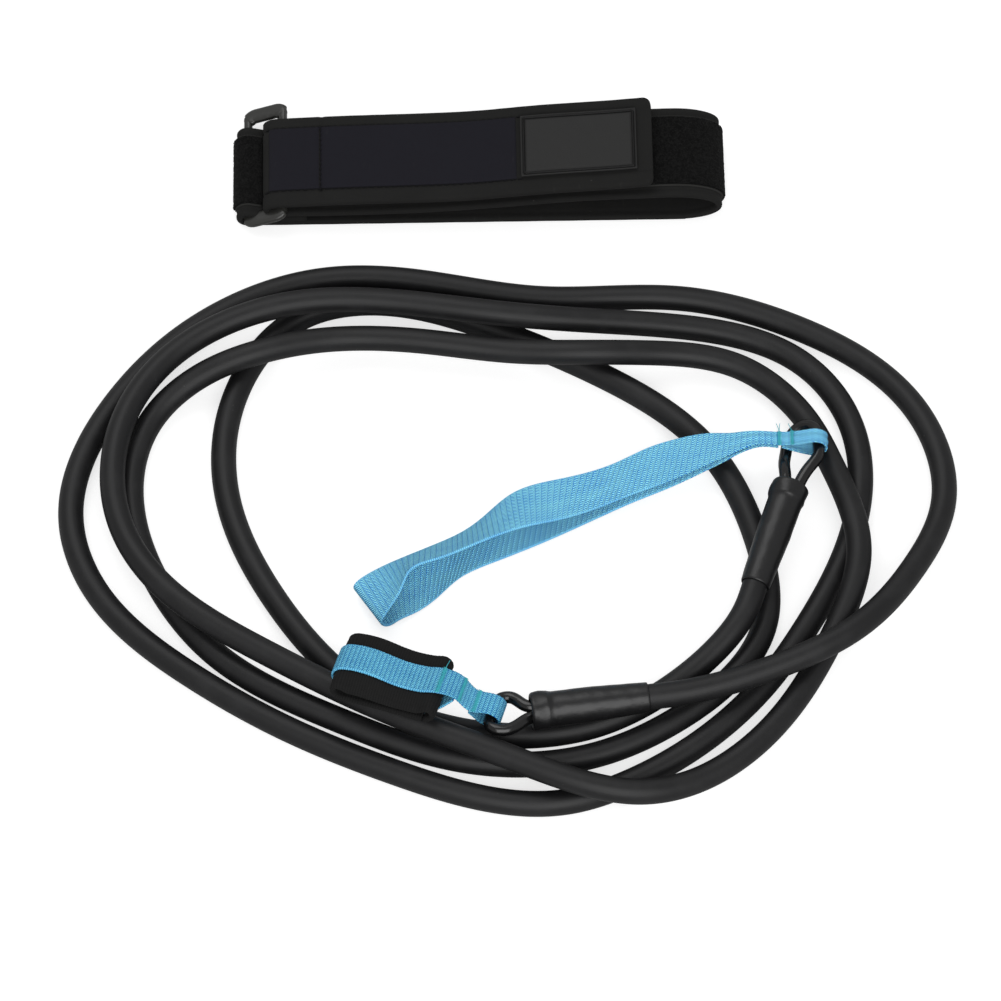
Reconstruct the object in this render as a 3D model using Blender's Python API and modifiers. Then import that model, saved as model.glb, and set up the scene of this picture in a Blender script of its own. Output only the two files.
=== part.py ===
"""Stationary swim tether: a folded waist belt, a coiled elastic tube with an end fitting at each end, an anchor
strap looped to one fitting and a padded cuff looped to the other. Metres, +Z up, all lying on a level floor."""

import bpy
import bmesh
import numpy as np
from math import asin, cos, radians, sin
from mathutils import Matrix, Vector

MM = 0.001
CLEARANCE = 0.0003
OVERRUN = 0.004
WELD_DISTANCE = 0.00001

# Middle of the belt, straps and fittings in the layout's own plan, so that the world's origin is under it.
LAYOUT_MIDDLE = Vector((0.0126, 0.0417, 0.0))

# Elastic tube
TUBE_DIAMETER = 0.0127
TUBE_BORE = 0.0074
TUBE_BORE_DEPTH = 0.017
TUBE_LEAD = TUBE_DIAMETER
TUBE_STEP = 0.027
TUBE_LOOP_LEAST = 0.050
TUBE_RADIUS = TUBE_DIAMETER / 2

# Route of the tube's middle line between its two leads, chosen by hand, in millimetres: from the cuff's
# fitting round four and a half loops to the anchor strap's fitting. Heights show which strand lies on which.
TUBE_ROUTE_MM = (
    (129, -109, 23.0), (174, -85, 23.0), (205, -45, 14.0), (221, -4, 8.5), (208, 50, 7.5),
    (151, 97, 6.5), (90, 115, 6.5), (20, 115, 6.5), (-42, 125, 6.5),
    (-90, 126, 6.5), (-163, 90, 6.5), (-191, 57, 6.5), (-214, -12, 6.5), (-199, -57, 6.5), (-154, -101, 6.5),
    (-101, -134, 6.5), (-52, -156, 6.5), (34, -172, 6.5), (60, -163, 6.5), (131, -106, 6.5), (150, -77, 6.5),
    (179, -3, 6.5), (174, 46, 6.5), (149, 79, 6.5), (86, 97, 9.0), (47, 97, 14.0), (0, 97, 21.0),
    (-58, 105, 20.0), (-108, 102, 21.5), (-162, 77, 18.5), (-189, 34, 19.5), (-189, -22, 19.5), (-163, -64, 21.5),
    (-114, -97, 18.5), (-71, -121, 18.5), (-37, -138, 20.5), (5, -156, 21.5), (69, -173, 18.5), (99, -162, 12.5),
    (125, -142, 11.0), (162, -86, 11.0), (177, -39, 20.5), (173, -13, 19.5), (165, 14, 13.0), (153, 43, 8.0),
    (120, 72, 10.5),
    (76, 77, 15.5), (48, 74, 21.0), (5, 77, 17.5), (-40, 83, 17.0), (-86, 84, 17.0), (-124, 73, 21.5),
    (-150, 64, 15.5), (-174, 44, 8.0), (-184, 14, 6.5), (-168, -54, 6.5), (-140, -91, 6.5), (-78, -128, 6.5),
    (-21, -149, 6.5), (42, -148, 6.5), (85, -128, 6.5), (130, -75, 6.5), (127, -25, 6.5), (100, 31, 6.5),
    (53, 68, 6.5), (-1, 95, 6.5), (-61, 112, 6.5), (-98, 105, 6.5), (-135, 52, 6.5), (-134, -11, 6.5),
    (-114, -56, 6.5), (-53, -121, 6.5), (-25, -132, 6.5), (50, -129, 6.5), (80, -113, 8.5), (105, -93, 13.5),
)

# End fittings: a moulded sleeve over the tube's end, a barbed plug inside it and a cord loop held in the plug
SLEEVE_LENGTH = 0.058
SLEEVE_MOUTH_RADIUS = 0.00725
SLEEVE_BODY_RADIUS = 0.0087
SLEEVE_LIP_RADIUS = 0.0094
SLEEVE_LIP_LENGTH = 0.0095
SLEEVE_LIP_STEP = 0.0012
SLEEVE_TAPER_LENGTH = 0.026
TUBE_CLEARANCE = 0.00035
TUBE_DEPTH = 0.030
PLUG_RADIUS = 0.0073
PLUG_HEAD_LENGTH = 0.014
PLUG_STEM_RADIUS = 0.0030
PLUG_STEM_LENGTH = 0.015
PLUG_BARB_RADIUS = 0.0033
PLUG_BARB_LENGTH = 0.0035
CORD_DIAMETER = 0.006
CORD_SPACING = 0.0073
CORD_HOLE_DEPTH = 0.010
CORD_HOLE_CLEARANCE = 0.0003
CORD_STEP = 0.0026
CORD_LEAD = 0.002
CORD_SMOOTH_COUNT = 400
CORD_LEG_SHARE = 0.75

ANCHOR_SLEEVE_LIP = Vector((0.14413, -0.00503, 0.02405))
ANCHOR_SLEEVE_HEADING = radians(70.9)
ANCHOR_SLEEVE_PITCH = radians(4.0)
CUFF_SLEEVE_LIP = Vector((0.01476, -0.13147, 0.0225))
CUFF_SLEEVE_HEADING = radians(188.0)
CUFF_SLEEVE_PITCH = radians(0.0)

# Webbing of the anchor strap. Its stations run from the neck along the lower layer, round the fold and back
# along the upper layer, as shares: along of the reach from the eye, aside of the strap's width, height of the
# eye's height, yaw and rise of its width's direction of a quarter turn, and width of the strap's width.
STRAP_WIDTH = 0.025
STRAP_THICKNESS = 0.0013
STRAP_REACH = 0.2365
STRAP_HEADING = radians(-158.9)
ANCHOR_EYE = Vector((0.1560, 0.0195, 0.0245))
EYE_RADIUS = 0.0063
NECK_WIDTH = 0.009
NECK_LENGTH = 0.016
NECK_HALF_GAP = 0.0011
NECK_NEAR_SHARE = 0.9
NECK_FAR_SHARE = 1.5
QUARTER_TURN = radians(90)
STRAP_STATION_SHARES = (
    (0.16, 0.58, 0.80, -0.33, 0.03, 0.52),
    (0.22, 0.66, 0.68, -0.36, 0.06, 0.80),
    (0.30, 0.71, 0.53, -0.42, 0.12, 0.98),
    (0.36, 0.72, 0.45, -0.44, 0.14, 1.00),
    (0.45, 0.75, 0.21, -0.39, 0.05, 1.00),
    (0.55, 0.70, 0.11, -0.34, 0.00, 1.00),
    (0.68, 0.63, 0.09, -0.36, 0.03, 1.00),
    (0.76, 0.52, 0.10, -0.41, 0.05, 1.00),
    (0.83, 0.27, 0.16, -0.34, 0.11, 1.00),
    (0.89, 0.15, 0.15, -0.24, 0.09, 1.00),
    (0.95, 0.13, 0.12, -0.04, 0.05, 1.00),
    (0.99, 0.09, 0.11, 0.16, 0.03, 1.00),
    (1.00, 0.07, 0.37, 0.14, 0.04, 1.00),
    (0.97, 0.23, 0.41, 0.06, -0.10, 1.00),
    (0.93, 0.39, 0.48, -0.01, -0.31, 1.00),
    (0.89, 0.55, 0.53, -0.19, -0.48, 1.00),
    (0.83, 0.59, 0.55, -0.24, -0.48, 1.00),
    (0.76, 0.68, 0.48, -0.21, -0.45, 1.00),
    (0.70, 0.82, 0.44, -0.16, -0.36, 1.00),
    (0.63, 0.93, 0.49, -0.16, -0.15, 1.00),
    (0.54, 0.85, 0.51, -0.30, -0.03, 1.00),
    (0.44, 0.80, 0.52, -0.42, 0.07, 1.00),
    (0.35, 0.83, 0.60, -0.40, 0.13, 1.00),
    (0.29, 0.79, 0.68, -0.38, 0.10, 0.96),
    (0.22, 0.71, 0.80, -0.36, 0.06, 0.78),
    (0.16, 0.60, 0.91, -0.33, 0.03, 0.50),
)
NECK_ASIDE_SHARE = 0.30
EYE_OPENING_SHARE = 1.28
ANCHOR_BAR_SHARES = (0.894, 0.907)

# Cord loop of the anchor's fitting, as places chosen by hand along its bow, in millimetres
ANCHOR_CORD_MM = (
    (153.6, 4.8, 25.0), (158.1, 12.2, 24.7), (158.3, 19.5, 24.5), (157.6, 26.8, 23.8),
    (153.6, 31.1, 21.6), (148.2, 30.4, 18.8), (144.2, 25.4, 16.6), (142.4, 17.8, 17.0), (141.2, 7.4, 21.4),
)

# Cuff: a padded loop with narrow webbing round it, which runs on to an eye on the other cord loop. The
# webbing's neck stations are shares: along of the way from the pad's end to the eye, aside of its webbing's
# width, and height of the loop's height.
CUFF_MIDDLE = Vector((-0.0528, -0.1175, 0.0318))
CUFF_HEADING = radians(-16.5)
CUFF_ROLL = radians(-10.0)
CUFF_PAD_WIDTH = 0.035
CUFF_PAD_THICKNESS = 0.0035
CUFF_PAD_SEAM_SHARE = 0.006
CUFF_LENGTH = 0.054
FLAT_SHARES = (-0.6, -0.2, 0.2, 0.6)
CUFF_HEIGHT = 0.0125
CUFF_WEBBING_WIDTH = 0.016
CUFF_WEBBING_THICKNESS = 0.0012
CUFF_EYE = Vector((-0.0050, -0.1303, 0.0224))
CUFF_EYE_TURN = radians(72.5)
CUFF_NECK_WIDTH = 0.0115
CUFF_UPPER_SHARES = ((0.05, 0.08, 0.555), (0.44, 0.13, 0.19), (0.72, 0.00, -0.30))
CUFF_LOWER_SHARES = ((0.69, 0.00, -0.48), (0.40, 0.13, -0.01))
CUFF_BAR_SHARES = (0.665, 0.728, 0.782)

# Cord loop of the cuff's fitting
CUFF_CORD_MM = (
    (9.0, -125.6, 21.8), (4.7, -122.6, 20.6), (-0.6, -124.0, 21.0), (-3.2, -130.8, 22.4), (-5.4, -137.9, 23.0),
    (-3.2, -141.7, 24.4), (1.4, -142.6, 24.4), (8.5, -139.2, 23.4),
)

# Rows of thread that hold the webbing
BAR_LENGTH = 0.0022
BAR_THICKNESS = 0.0008

# Belt, in its own frame: X along it from the ring to the fold, Y across it
BELT_WIDTH = 0.054
BELT_THICKNESS = 0.0035
BELT_MIDDLE = Vector((-0.0092, 0.1914, 0.0))
BELT_HEADING = radians(1.0)
BELT_REACH = 0.2415
LAYER_GAP = 0.00045
WRAP_CLEARANCE = 0.00045
FOLD_DEPTH = 0.0228
FOLD_HEIGHT = 0.0223
TAB_LENGTH = 0.030
RING_SPAN = 0.0198
RING_LENGTH = 0.0715
RING_WIRE = 0.004
RING_CORNER = 0.006
RING_SHIFT = 0.0041
LOOP_SLACK = 0.0044
MIDDLE_LAYER_SHARES = (
    (0.835, 0.975), (0.730, 0.92), (0.620, 0.80), (0.500, 0.64), (0.350, 0.50), (0.240, 0.452), (0.160, 0.436),
)
FLOOR_SHARES = (0.08, 0.20, 0.32, 0.44, 0.56, 0.68, 0.80, 0.88)

# Flap: stations as shares of its length and of its rise from the seam to the tip
FLAP_SEAM = 0.0385
FLAP_LENGTH = 0.698 * BELT_REACH
FLAP_RISE = 0.0140
FLAP_SEAM_RISE = 0.0012
FLAP_CORNER = 0.007
FLAP_STATION_SHARES = (
    (0.0, 0.0), (0.115, 0.057), (0.295, 0.122), (0.476, 0.257), (0.620, 0.500), (0.777, 0.700), (0.910, 0.857),
    (1.0, 1.0),
)

# Facings on the band and the flap, with the shares of the line's length that they cover
PILE_WIDTH = 0.041
PILE_THICKNESS = 0.0012
FOLD_PILE_SHARES = (0.509, 0.80)
TAB_PILE_SHARES = (0.043, 0.0675)
LINING_WIDTH = 0.038
LINING_SHIFT = 0.0015
LINING_THICKNESS = 0.0007
LINING_SHARES = (0.035, 0.59)
HOOK_WIDTH = 0.042
HOOK_THICKNESS = 0.0014
HOOK_SHARES = (0.66, 0.955)
BADGE_WIDTH = 0.037
BADGE_THICKNESS = 0.0015
BADGE_SHARES = (0.605, 0.955)
BADGE_SHIFT = 0.001

# How finely lines of cloth are divided: the longest run, and the most turn between two places
LONGEST_RUN = 0.012
MOST_TURN = radians(20)
SMOOTH_COUNT = 2400
DIRECTION_WEIGHT = 0.01


def vectors(rows, unit=MM):
    """Rows of three numbers in the unit as an array in metres."""
    return np.array(rows, float) * unit


def clear_scene():
    for item in list(bpy.data.objects):
        bpy.data.objects.remove(item, do_unlink=True)


def collection(name, hidden=False):
    made = bpy.data.collections.new(name)
    bpy.context.scene.collection.children.link(made)
    made.hide_render = hidden
    return made


def material(name, colour, roughness, metallic=0.0):
    made = bpy.data.materials.new(name)
    made.use_nodes = True
    shader = made.node_tree.nodes["Principled BSDF"]
    shader.inputs["Base Color"].default_value = (*colour, 1.0)
    shader.inputs["Roughness"].default_value = roughness
    shader.inputs["Metallic"].default_value = metallic
    return made


def smooth_curve(points, count):
    """A natural cubic spline through the points, as count places spread evenly over its chord length."""
    points = np.asarray(points, float)
    knots = np.concatenate([[0.0], np.cumsum(np.linalg.norm(np.diff(points, axis=0), axis=1))])
    gaps = np.diff(knots)
    size = len(points)
    system = np.eye(size)
    bend = np.zeros_like(points)
    for i in range(1, size - 1):
        system[i, i - 1:i + 2] = gaps[i - 1], 2 * (gaps[i - 1] + gaps[i]), gaps[i]
        bend[i] = 6 * ((points[i + 1] - points[i]) / gaps[i] - (points[i] - points[i - 1]) / gaps[i - 1])
    bend = np.linalg.solve(system, bend)
    at = np.linspace(0.0, knots[-1], count)
    i = np.clip(np.searchsorted(knots, at, side="right") - 1, 0, size - 2)
    after, before, gap = (knots[i + 1] - at)[:, None], (at - knots[i])[:, None], gaps[i][:, None]
    curve = (bend[i] * after ** 3 + bend[i + 1] * before ** 3) / (6 * gap)
    curve += (points[i] / gap - bend[i] * gap / 6) * after
    return curve + (points[i + 1] / gap - bend[i + 1] * gap / 6) * before


def line_length(points):
    return float(np.linalg.norm(np.diff(points, axis=0), axis=1).sum())


def evenly_spaced(points, step):
    """The same line with its places about one step apart."""
    lengths = np.concatenate([[0.0], np.cumsum(np.linalg.norm(np.diff(points, axis=0), axis=1))])
    at = np.linspace(0.0, lengths[-1], max(2, round(lengths[-1] / step)) + 1)
    return np.stack([np.interp(at, lengths, points[:, axis]) for axis in range(points.shape[1])], axis=1)


def least_gap(points, diameter, apart):
    """The least distance between the surfaces of two stretches of the line that lie apart along it."""
    lengths = np.concatenate([[0.0], np.cumsum(np.linalg.norm(np.diff(points, axis=0), axis=1))])
    distance = np.linalg.norm(points[:, None] - points[None], axis=2)
    distance[np.abs(lengths[:, None] - lengths[None]) < apart] = np.inf
    return float(distance.min() - diameter)


class Builder:
    """Makes the pieces as objects, each in the parts' collection, under the empty that carries it."""

    def __init__(self):
        self.parts = collection("stationary_swim_tether")
        self.cutters = collection("cutters", hidden=True)
        self.layout = self.empty("layout", -LAYOUT_MIDDLE)

    def empty(self, name, place, parent=None, turn=0.0):
        made = bpy.data.objects.new(name, None)
        self.parts.objects.link(made)
        made.location = place
        made.rotation_euler[2] = turn
        made.parent = parent
        return made

    def add(self, name, data, look, parent):
        made = bpy.data.objects.new(name, data)
        made.data.materials.append(look)
        made.parent = parent or self.layout
        self.parts.objects.link(made)
        return made

    def tube(self, name, points, diameter, look, parent=None, resolution=2, away=Vector()):
        """A round bar along the points, which are counted from the place away."""
        data = bpy.data.curves.new(name, "CURVE")
        data.dimensions = "3D"
        data.bevel_depth = diameter / 2
        data.bevel_resolution = resolution
        data.use_fill_caps = True
        data.twist_mode = "MINIMUM"
        spline = data.splines.new("POLY")
        spline.points.add(len(points) - 1)
        for point, place in zip(spline.points, points):
            point.co = (*(Vector(place) - away), 1.0)
        return self.add(name, data, look, parent)

    def as_mesh(self, item):
        """The curve object made a mesh object of the same name, with its caps welded on."""
        bpy.context.view_layer.update()
        graph = bpy.context.evaluated_depsgraph_get()
        data = bpy.data.meshes.new_from_object(item.evaluated_get(graph))
        shape = bmesh.new()
        shape.from_mesh(data)
        bmesh.ops.remove_doubles(shape, verts=shape.verts, dist=WELD_DISTANCE)
        shape.to_mesh(data)
        shape.free()
        name, parent = item.name, item.parent
        bpy.data.objects.remove(item, do_unlink=True)
        made = bpy.data.objects.new(name, data)
        made.parent = parent
        self.parts.objects.link(made)
        return made

    def turned(self, name, profile, look, parent, steps=24):
        """A solid of revolution about its own Z from a closed profile of (radius, height)."""
        data = bpy.data.meshes.new(name)
        shape = bmesh.new()
        corners = [shape.verts.new((radius, 0.0, height)) for radius, height in profile]
        for one, other in zip(corners, corners[1:]):
            shape.edges.new((one, other))
        if profile[0][0] > 0 or profile[-1][0] > 0:
            shape.edges.new((corners[-1], corners[0]))
        shape.to_mesh(data)
        shape.free()
        made = self.add(name, data, look, parent)
        turn = made.modifiers.new("Turn", "SCREW")
        turn.steps = turn.render_steps = steps
        turn.use_merge_vertices = True
        turn.merge_threshold = WELD_DISTANCE
        turn.use_smooth_shade = True
        return made

    def ribbon(self, name, middles, across, widths, thickness, look, parent=None, away=Vector(), strips=1):
        """A strip of cloth: a grid bent along the middles, spread across them, then given its thickness."""
        data = bpy.data.meshes.new(name)
        shape = bmesh.new()
        bmesh.ops.create_grid(shape, x_segments=len(middles) - 1, y_segments=strips, size=1.0)
        for corner in shape.verts:
            i = round((corner.co.x + 1) / 2 * (len(middles) - 1))
            side = corner.co.y / 2
            corner.co = Vector(middles[i] + across[i] * widths[i] * side) - away
        shape.to_mesh(data)
        shape.free()
        made = self.add(name, data, look, parent)
        wall = made.modifiers.new("Wall", "SOLIDIFY")
        wall.thickness = thickness
        wall.offset = 0.0
        return made

    def cutter(self, name, radius, length, parent, place):
        data = bpy.data.meshes.new(name)
        shape = bmesh.new()
        bmesh.ops.create_cone(
            shape, cap_ends=True, segments=16, radius1=radius, radius2=radius, depth=length,
            matrix=Matrix.Translation(place),
        )
        shape.to_mesh(data)
        shape.free()
        made = bpy.data.objects.new(name, data)
        made.parent = parent
        made.hide_render = True
        made.display_type = "WIRE"
        self.cutters.objects.link(made)
        return made


def cut(item, tool):
    step = item.modifiers.new("Cut", "BOOLEAN")
    step.operation = "DIFFERENCE"
    step.solver = "EXACT"
    step.object = tool


def heading(turn, pitch):
    return Vector((cos(turn) * cos(pitch), sin(turn) * cos(pitch), sin(pitch)))


class Fitting:
    """An end fitting, from the mouth where the tube goes in to the lip where the cord loop comes out."""

    def __init__(self, builder, name, lip, turn, pitch, looks):
        self.builder, self.name, self.looks = builder, name, looks
        self.way = heading(turn, pitch)
        self.mouth = lip - self.way * SLEEVE_LENGTH
        self.side = Vector((sin(turn), -cos(turn), 0.0))
        self.frame = builder.empty(f"{name}_fitting", self.mouth, builder.layout)
        self.frame.rotation_mode = "QUATERNION"
        self.frame.rotation_quaternion = self.way.to_track_quat("Z", "X")

    def along(self, distance, aside=0.0):
        return np.array(self.mouth + self.way * distance + self.side * aside)

    def sleeve(self):
        inner = TUBE_RADIUS + TUBE_CLEARANCE
        wide = PLUG_RADIUS + CLEARANCE
        shoulder = SLEEVE_LENGTH - SLEEVE_LIP_LENGTH
        step = TUBE_DEPTH - OVERRUN
        profile = (
            (SLEEVE_LIP_RADIUS - SLEEVE_LIP_STEP, SLEEVE_LENGTH),
            (SLEEVE_LIP_RADIUS, SLEEVE_LENGTH - SLEEVE_LIP_STEP),
            (SLEEVE_LIP_RADIUS, shoulder + SLEEVE_LIP_STEP),
            (SLEEVE_BODY_RADIUS, shoulder),
            (SLEEVE_BODY_RADIUS, SLEEVE_TAPER_LENGTH),
            (SLEEVE_MOUTH_RADIUS, 0.0),
            (inner, 0.0),
            (inner, step),
            (wide, step + SLEEVE_LIP_STEP),
            (wide, SLEEVE_LENGTH),
        )
        return self.builder.turned(f"{self.name}_sleeve", profile, self.looks["sleeve"], self.frame)

    def plug(self):
        low = TUBE_DEPTH + CLEARANCE
        top = low + PLUG_HEAD_LENGTH
        tip = low - PLUG_STEM_LENGTH
        profile = (
            (0.0, top), (PLUG_RADIUS, top), (PLUG_RADIUS, low),
            (PLUG_STEM_RADIUS, low), (PLUG_STEM_RADIUS, tip + PLUG_BARB_LENGTH),
            (PLUG_BARB_RADIUS, tip + PLUG_BARB_LENGTH), (PLUG_STEM_RADIUS, tip), (0.0, tip),
        )
        item = self.builder.turned(f"{self.name}_plug", profile, self.looks["plug"], self.frame)
        for number, side in enumerate((-1, 1)):
            place = Vector((0.0, side * CORD_SPACING / 2, top - CORD_HOLE_DEPTH / 2 + OVERRUN / 2))
            hole = self.builder.cutter(
                f"{self.name}_cord_hole_{number}", CORD_DIAMETER / 2 + CORD_HOLE_CLEARANCE,
                CORD_HOLE_DEPTH + OVERRUN, self.frame, place,
            )
            cut(item, hole)
        return item

    def cord(self, bow):
        """The cord loop: one leg out of the plug, round the bow's points and back in along the other leg."""
        foot = TUBE_DEPTH + PLUG_HEAD_LENGTH - CORD_HOLE_DEPTH + CLEARANCE * 2
        out = SLEEVE_LENGTH + CORD_LEAD
        side = CORD_SPACING / 2
        legs = ((foot, out * CORD_LEG_SHARE, out), (out, out * CORD_LEG_SHARE, foot))
        points = [self.along(s, side) for s in legs[0]] + list(bow) + [self.along(s, -side) for s in legs[1]]
        line = smooth_curve(points, CORD_SMOOTH_COUNT)
        return self.builder.tube(
            f"{self.name}_cord", evenly_spaced(line, CORD_STEP), CORD_DIAMETER, self.looks["cord"], resolution=1
        )


def elastic_tube(builder, anchor, cuff, looks):
    """The tube: straight leads in both fittings and the route between, never lower than the floor."""
    start = [cuff.along(TUBE_DEPTH), cuff.along(TUBE_DEPTH / 2), cuff.along(0.0), cuff.along(-TUBE_LEAD)]
    end = [anchor.along(-TUBE_LEAD), anchor.along(0.0), anchor.along(TUBE_DEPTH / 2), anchor.along(TUBE_DEPTH)]
    line = smooth_curve(np.concatenate([start, vectors(TUBE_ROUTE_MM), end]), SMOOTH_COUNT)
    line[:, 2] = np.maximum(line[:, 2], TUBE_RADIUS)
    length = line_length(line)
    middle = evenly_spaced(line, TUBE_STEP)
    cuff_lead = [cuff.along(TUBE_DEPTH), cuff.along(0.0), cuff.along(-TUBE_LEAD)]
    anchor_lead = [anchor.along(-TUBE_LEAD), anchor.along(0.0), anchor.along(TUBE_DEPTH)]
    from_cuff = np.linalg.norm(middle - cuff_lead[-1], axis=1) > TUBE_STEP / 2
    from_anchor = np.linalg.norm(middle - anchor_lead[0], axis=1) > TUBE_STEP / 2
    count = len(middle)
    order = np.arange(count) / count
    straight = (TUBE_DEPTH + TUBE_LEAD) / length
    keep = (order > straight) & (order < 1 - straight) & from_cuff & from_anchor
    places = np.concatenate([cuff_lead, middle[keep], anchor_lead])
    fine = evenly_spaced(places, TUBE_DIAMETER / 4)
    print(f"elastic tube: {length:.3f} m long, least gap to itself "
          f"{least_gap(fine, TUBE_DIAMETER, TUBE_LOOP_LEAST) / MM:.2f} mm")
    item = builder.tube("elastic_tube", places, TUBE_DIAMETER, looks["tube"], resolution=1)
    item = builder.as_mesh(item)
    for fitting in (anchor, cuff):
        depth = TUBE_BORE_DEPTH + OVERRUN
        place = Vector((0.0, 0.0, TUBE_DEPTH - TUBE_BORE_DEPTH + depth / 2))
        cut(item, builder.cutter(f"{fitting.name}_tube_bore", TUBE_BORE / 2, depth, fitting.frame, place))
    return item


def by_bend(track):
    """Places along a finely divided track, close together in its bends and a long run apart where it is flat."""
    steps = np.diff(track[:, :3], axis=0)
    lengths = np.linalg.norm(steps, axis=1)
    ways = steps / lengths[:, None]
    turns = np.arccos(np.clip((ways[1:] * ways[:-1]).sum(axis=1), -1, 1))
    cost = lengths / LONGEST_RUN + np.append(turns, 0.0) / MOST_TURN
    total = np.concatenate([[0.0], np.cumsum(cost)])
    at = np.linspace(0.0, total[-1], round(total[-1]) + 1)
    return np.stack([np.interp(at, total, track[:, axis]) for axis in range(track.shape[1])], axis=1)


def between(track, start, stop):
    """The part of a track from one share of its length to another."""
    lengths = np.concatenate([[0.0], np.cumsum(np.linalg.norm(np.diff(track[:, :3], axis=0), axis=1))])
    inside = (lengths > start * lengths[-1]) & (lengths < stop * lengths[-1])
    at = np.concatenate([[start * lengths[-1]], lengths[inside], [stop * lengths[-1]]])
    return np.stack([np.interp(at, lengths, track[:, axis]) for axis in range(track.shape[1])], axis=1)


def cloth_track(rows):
    """A smooth track through rows of middle, direction across and width, in metres."""
    rows = np.array(rows, float)
    rows[:, 3:6] *= DIRECTION_WEIGHT
    track = smooth_curve(rows, SMOOTH_COUNT)
    track[:, 3:6] /= np.linalg.norm(track[:, 3:6], axis=1)[:, None]
    return track


def lay_strip(builder, name, track, thickness, look, parent=None, away=Vector(), strips=1):
    places = by_bend(track)
    across = places[:, 3:6] / np.linalg.norm(places[:, 3:6], axis=1)[:, None]
    return builder.ribbon(name, places[:, :3], across, places[:, 6], thickness, look, parent, away, strips)


def facing(track, distance):
    """The track moved off its own face, towards its way crossed with its width's direction."""
    way = np.gradient(track[:, :3], axis=0)
    way /= np.linalg.norm(way, axis=1)[:, None]
    face = np.cross(way, track[:, 3:6])
    face /= np.linalg.norm(face, axis=1)[:, None]
    moved = track.copy()
    moved[:, :3] += distance * face
    return moved


def eye_rows(centre, along, across, width):
    """The eye of a webbing loop, from the neck's upper side round the cord to its lower side."""
    up = np.cross(across, along)
    up *= np.sign(up[2])
    rows = []
    for angle in np.linspace(EYE_OPENING_SHARE, -EYE_OPENING_SHARE, 11) * QUARTER_TURN:
        place = np.array(centre) + EYE_RADIUS * (cos(angle) * along + sin(angle) * up)
        rows.append((*place, *across, width))
    return rows


def thread_bar(builder, name, track, share, thickness, look, parent, away):
    """A flat bar of thread across the outer face of a webbing track at a share of its length."""
    place, beyond = between(track, share, share + 1 / SMOOTH_COUNT)[[0, -1]]
    across = Vector(place[3:6]).normalized()
    along = Vector(beyond[:3] - place[:3]).normalized()
    face = along.cross(across).normalized()
    across = face.cross(along)
    lift = thickness / 2 + CLEARANCE + BAR_THICKNESS / 2
    middle = Vector(place[:3]) + face * lift - away
    turn = Matrix((along, across, face)).transposed().to_4x4()
    size = Matrix.Diagonal((BAR_LENGTH, place[6], BAR_THICKNESS, 1.0))
    data = bpy.data.meshes.new(name)
    shape = bmesh.new()
    bmesh.ops.create_cube(shape, size=1.0, matrix=Matrix.Translation(middle) @ turn @ size)
    bmesh.ops.recalc_face_normals(shape, faces=shape.faces)
    shape.to_mesh(data)
    shape.free()
    return builder.add(name, data, look, parent)


def anchor_strap(builder, looks):
    """The wide webbing loop: lower layer to the fold, upper layer back, then the gathered neck and the eye."""
    turn = STRAP_HEADING
    along = np.array((cos(turn), sin(turn), 0.0))
    far = np.array((sin(turn), -cos(turn), 0.0))
    up = np.array((0.0, 0.0, 1.0))
    eye = np.array(ANCHOR_EYE)
    axis = np.array((0.0, 1.0, 0.0))
    neck = eye + NECK_LENGTH * along + NECK_ASIDE_SHARE * STRAP_WIDTH * far
    back = np.array((1.0, 0.0, 0.0))

    def station(row):
        reach, aside, height, yaw, rise, width = row
        middle = eye + reach * STRAP_REACH * along + aside * STRAP_WIDTH * far
        middle[2] = height * ANCHOR_EYE.z
        level = cos(yaw * QUARTER_TURN) * far + sin(yaw * QUARTER_TURN) * along
        across = cos(rise * QUARTER_TURN) * level + sin(rise * QUARTER_TURN) * up
        return (*middle, *across, width * STRAP_WIDTH)

    def neck_row(side, stretch=1.0):
        middle = eye + (neck - eye) * stretch + side * NECK_HALF_GAP * up
        return (*middle, *axis, NECK_WIDTH)

    rows = [neck_row(-1), neck_row(-1, NECK_FAR_SHARE)]
    rows += [station(row) for row in STRAP_STATION_SHARES]
    rows += [neck_row(1, NECK_FAR_SHARE), neck_row(1)]
    rows += eye_rows(eye, back, axis, NECK_WIDTH)
    rows += [neck_row(-1, NECK_NEAR_SHARE)]
    track = cloth_track(rows)
    pivot = builder.empty("anchor_pivot", ANCHOR_EYE, builder.layout)
    lay_strip(builder, "anchor_strap", track, STRAP_THICKNESS, looks["webbing"], pivot, ANCHOR_EYE, strips=2)
    for number, share in enumerate(ANCHOR_BAR_SHARES):
        thread_bar(
            builder, f"anchor_bartack_{number + 1}", track, share, STRAP_THICKNESS, looks["thread"], pivot,
            ANCHOR_EYE,
        )


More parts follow.
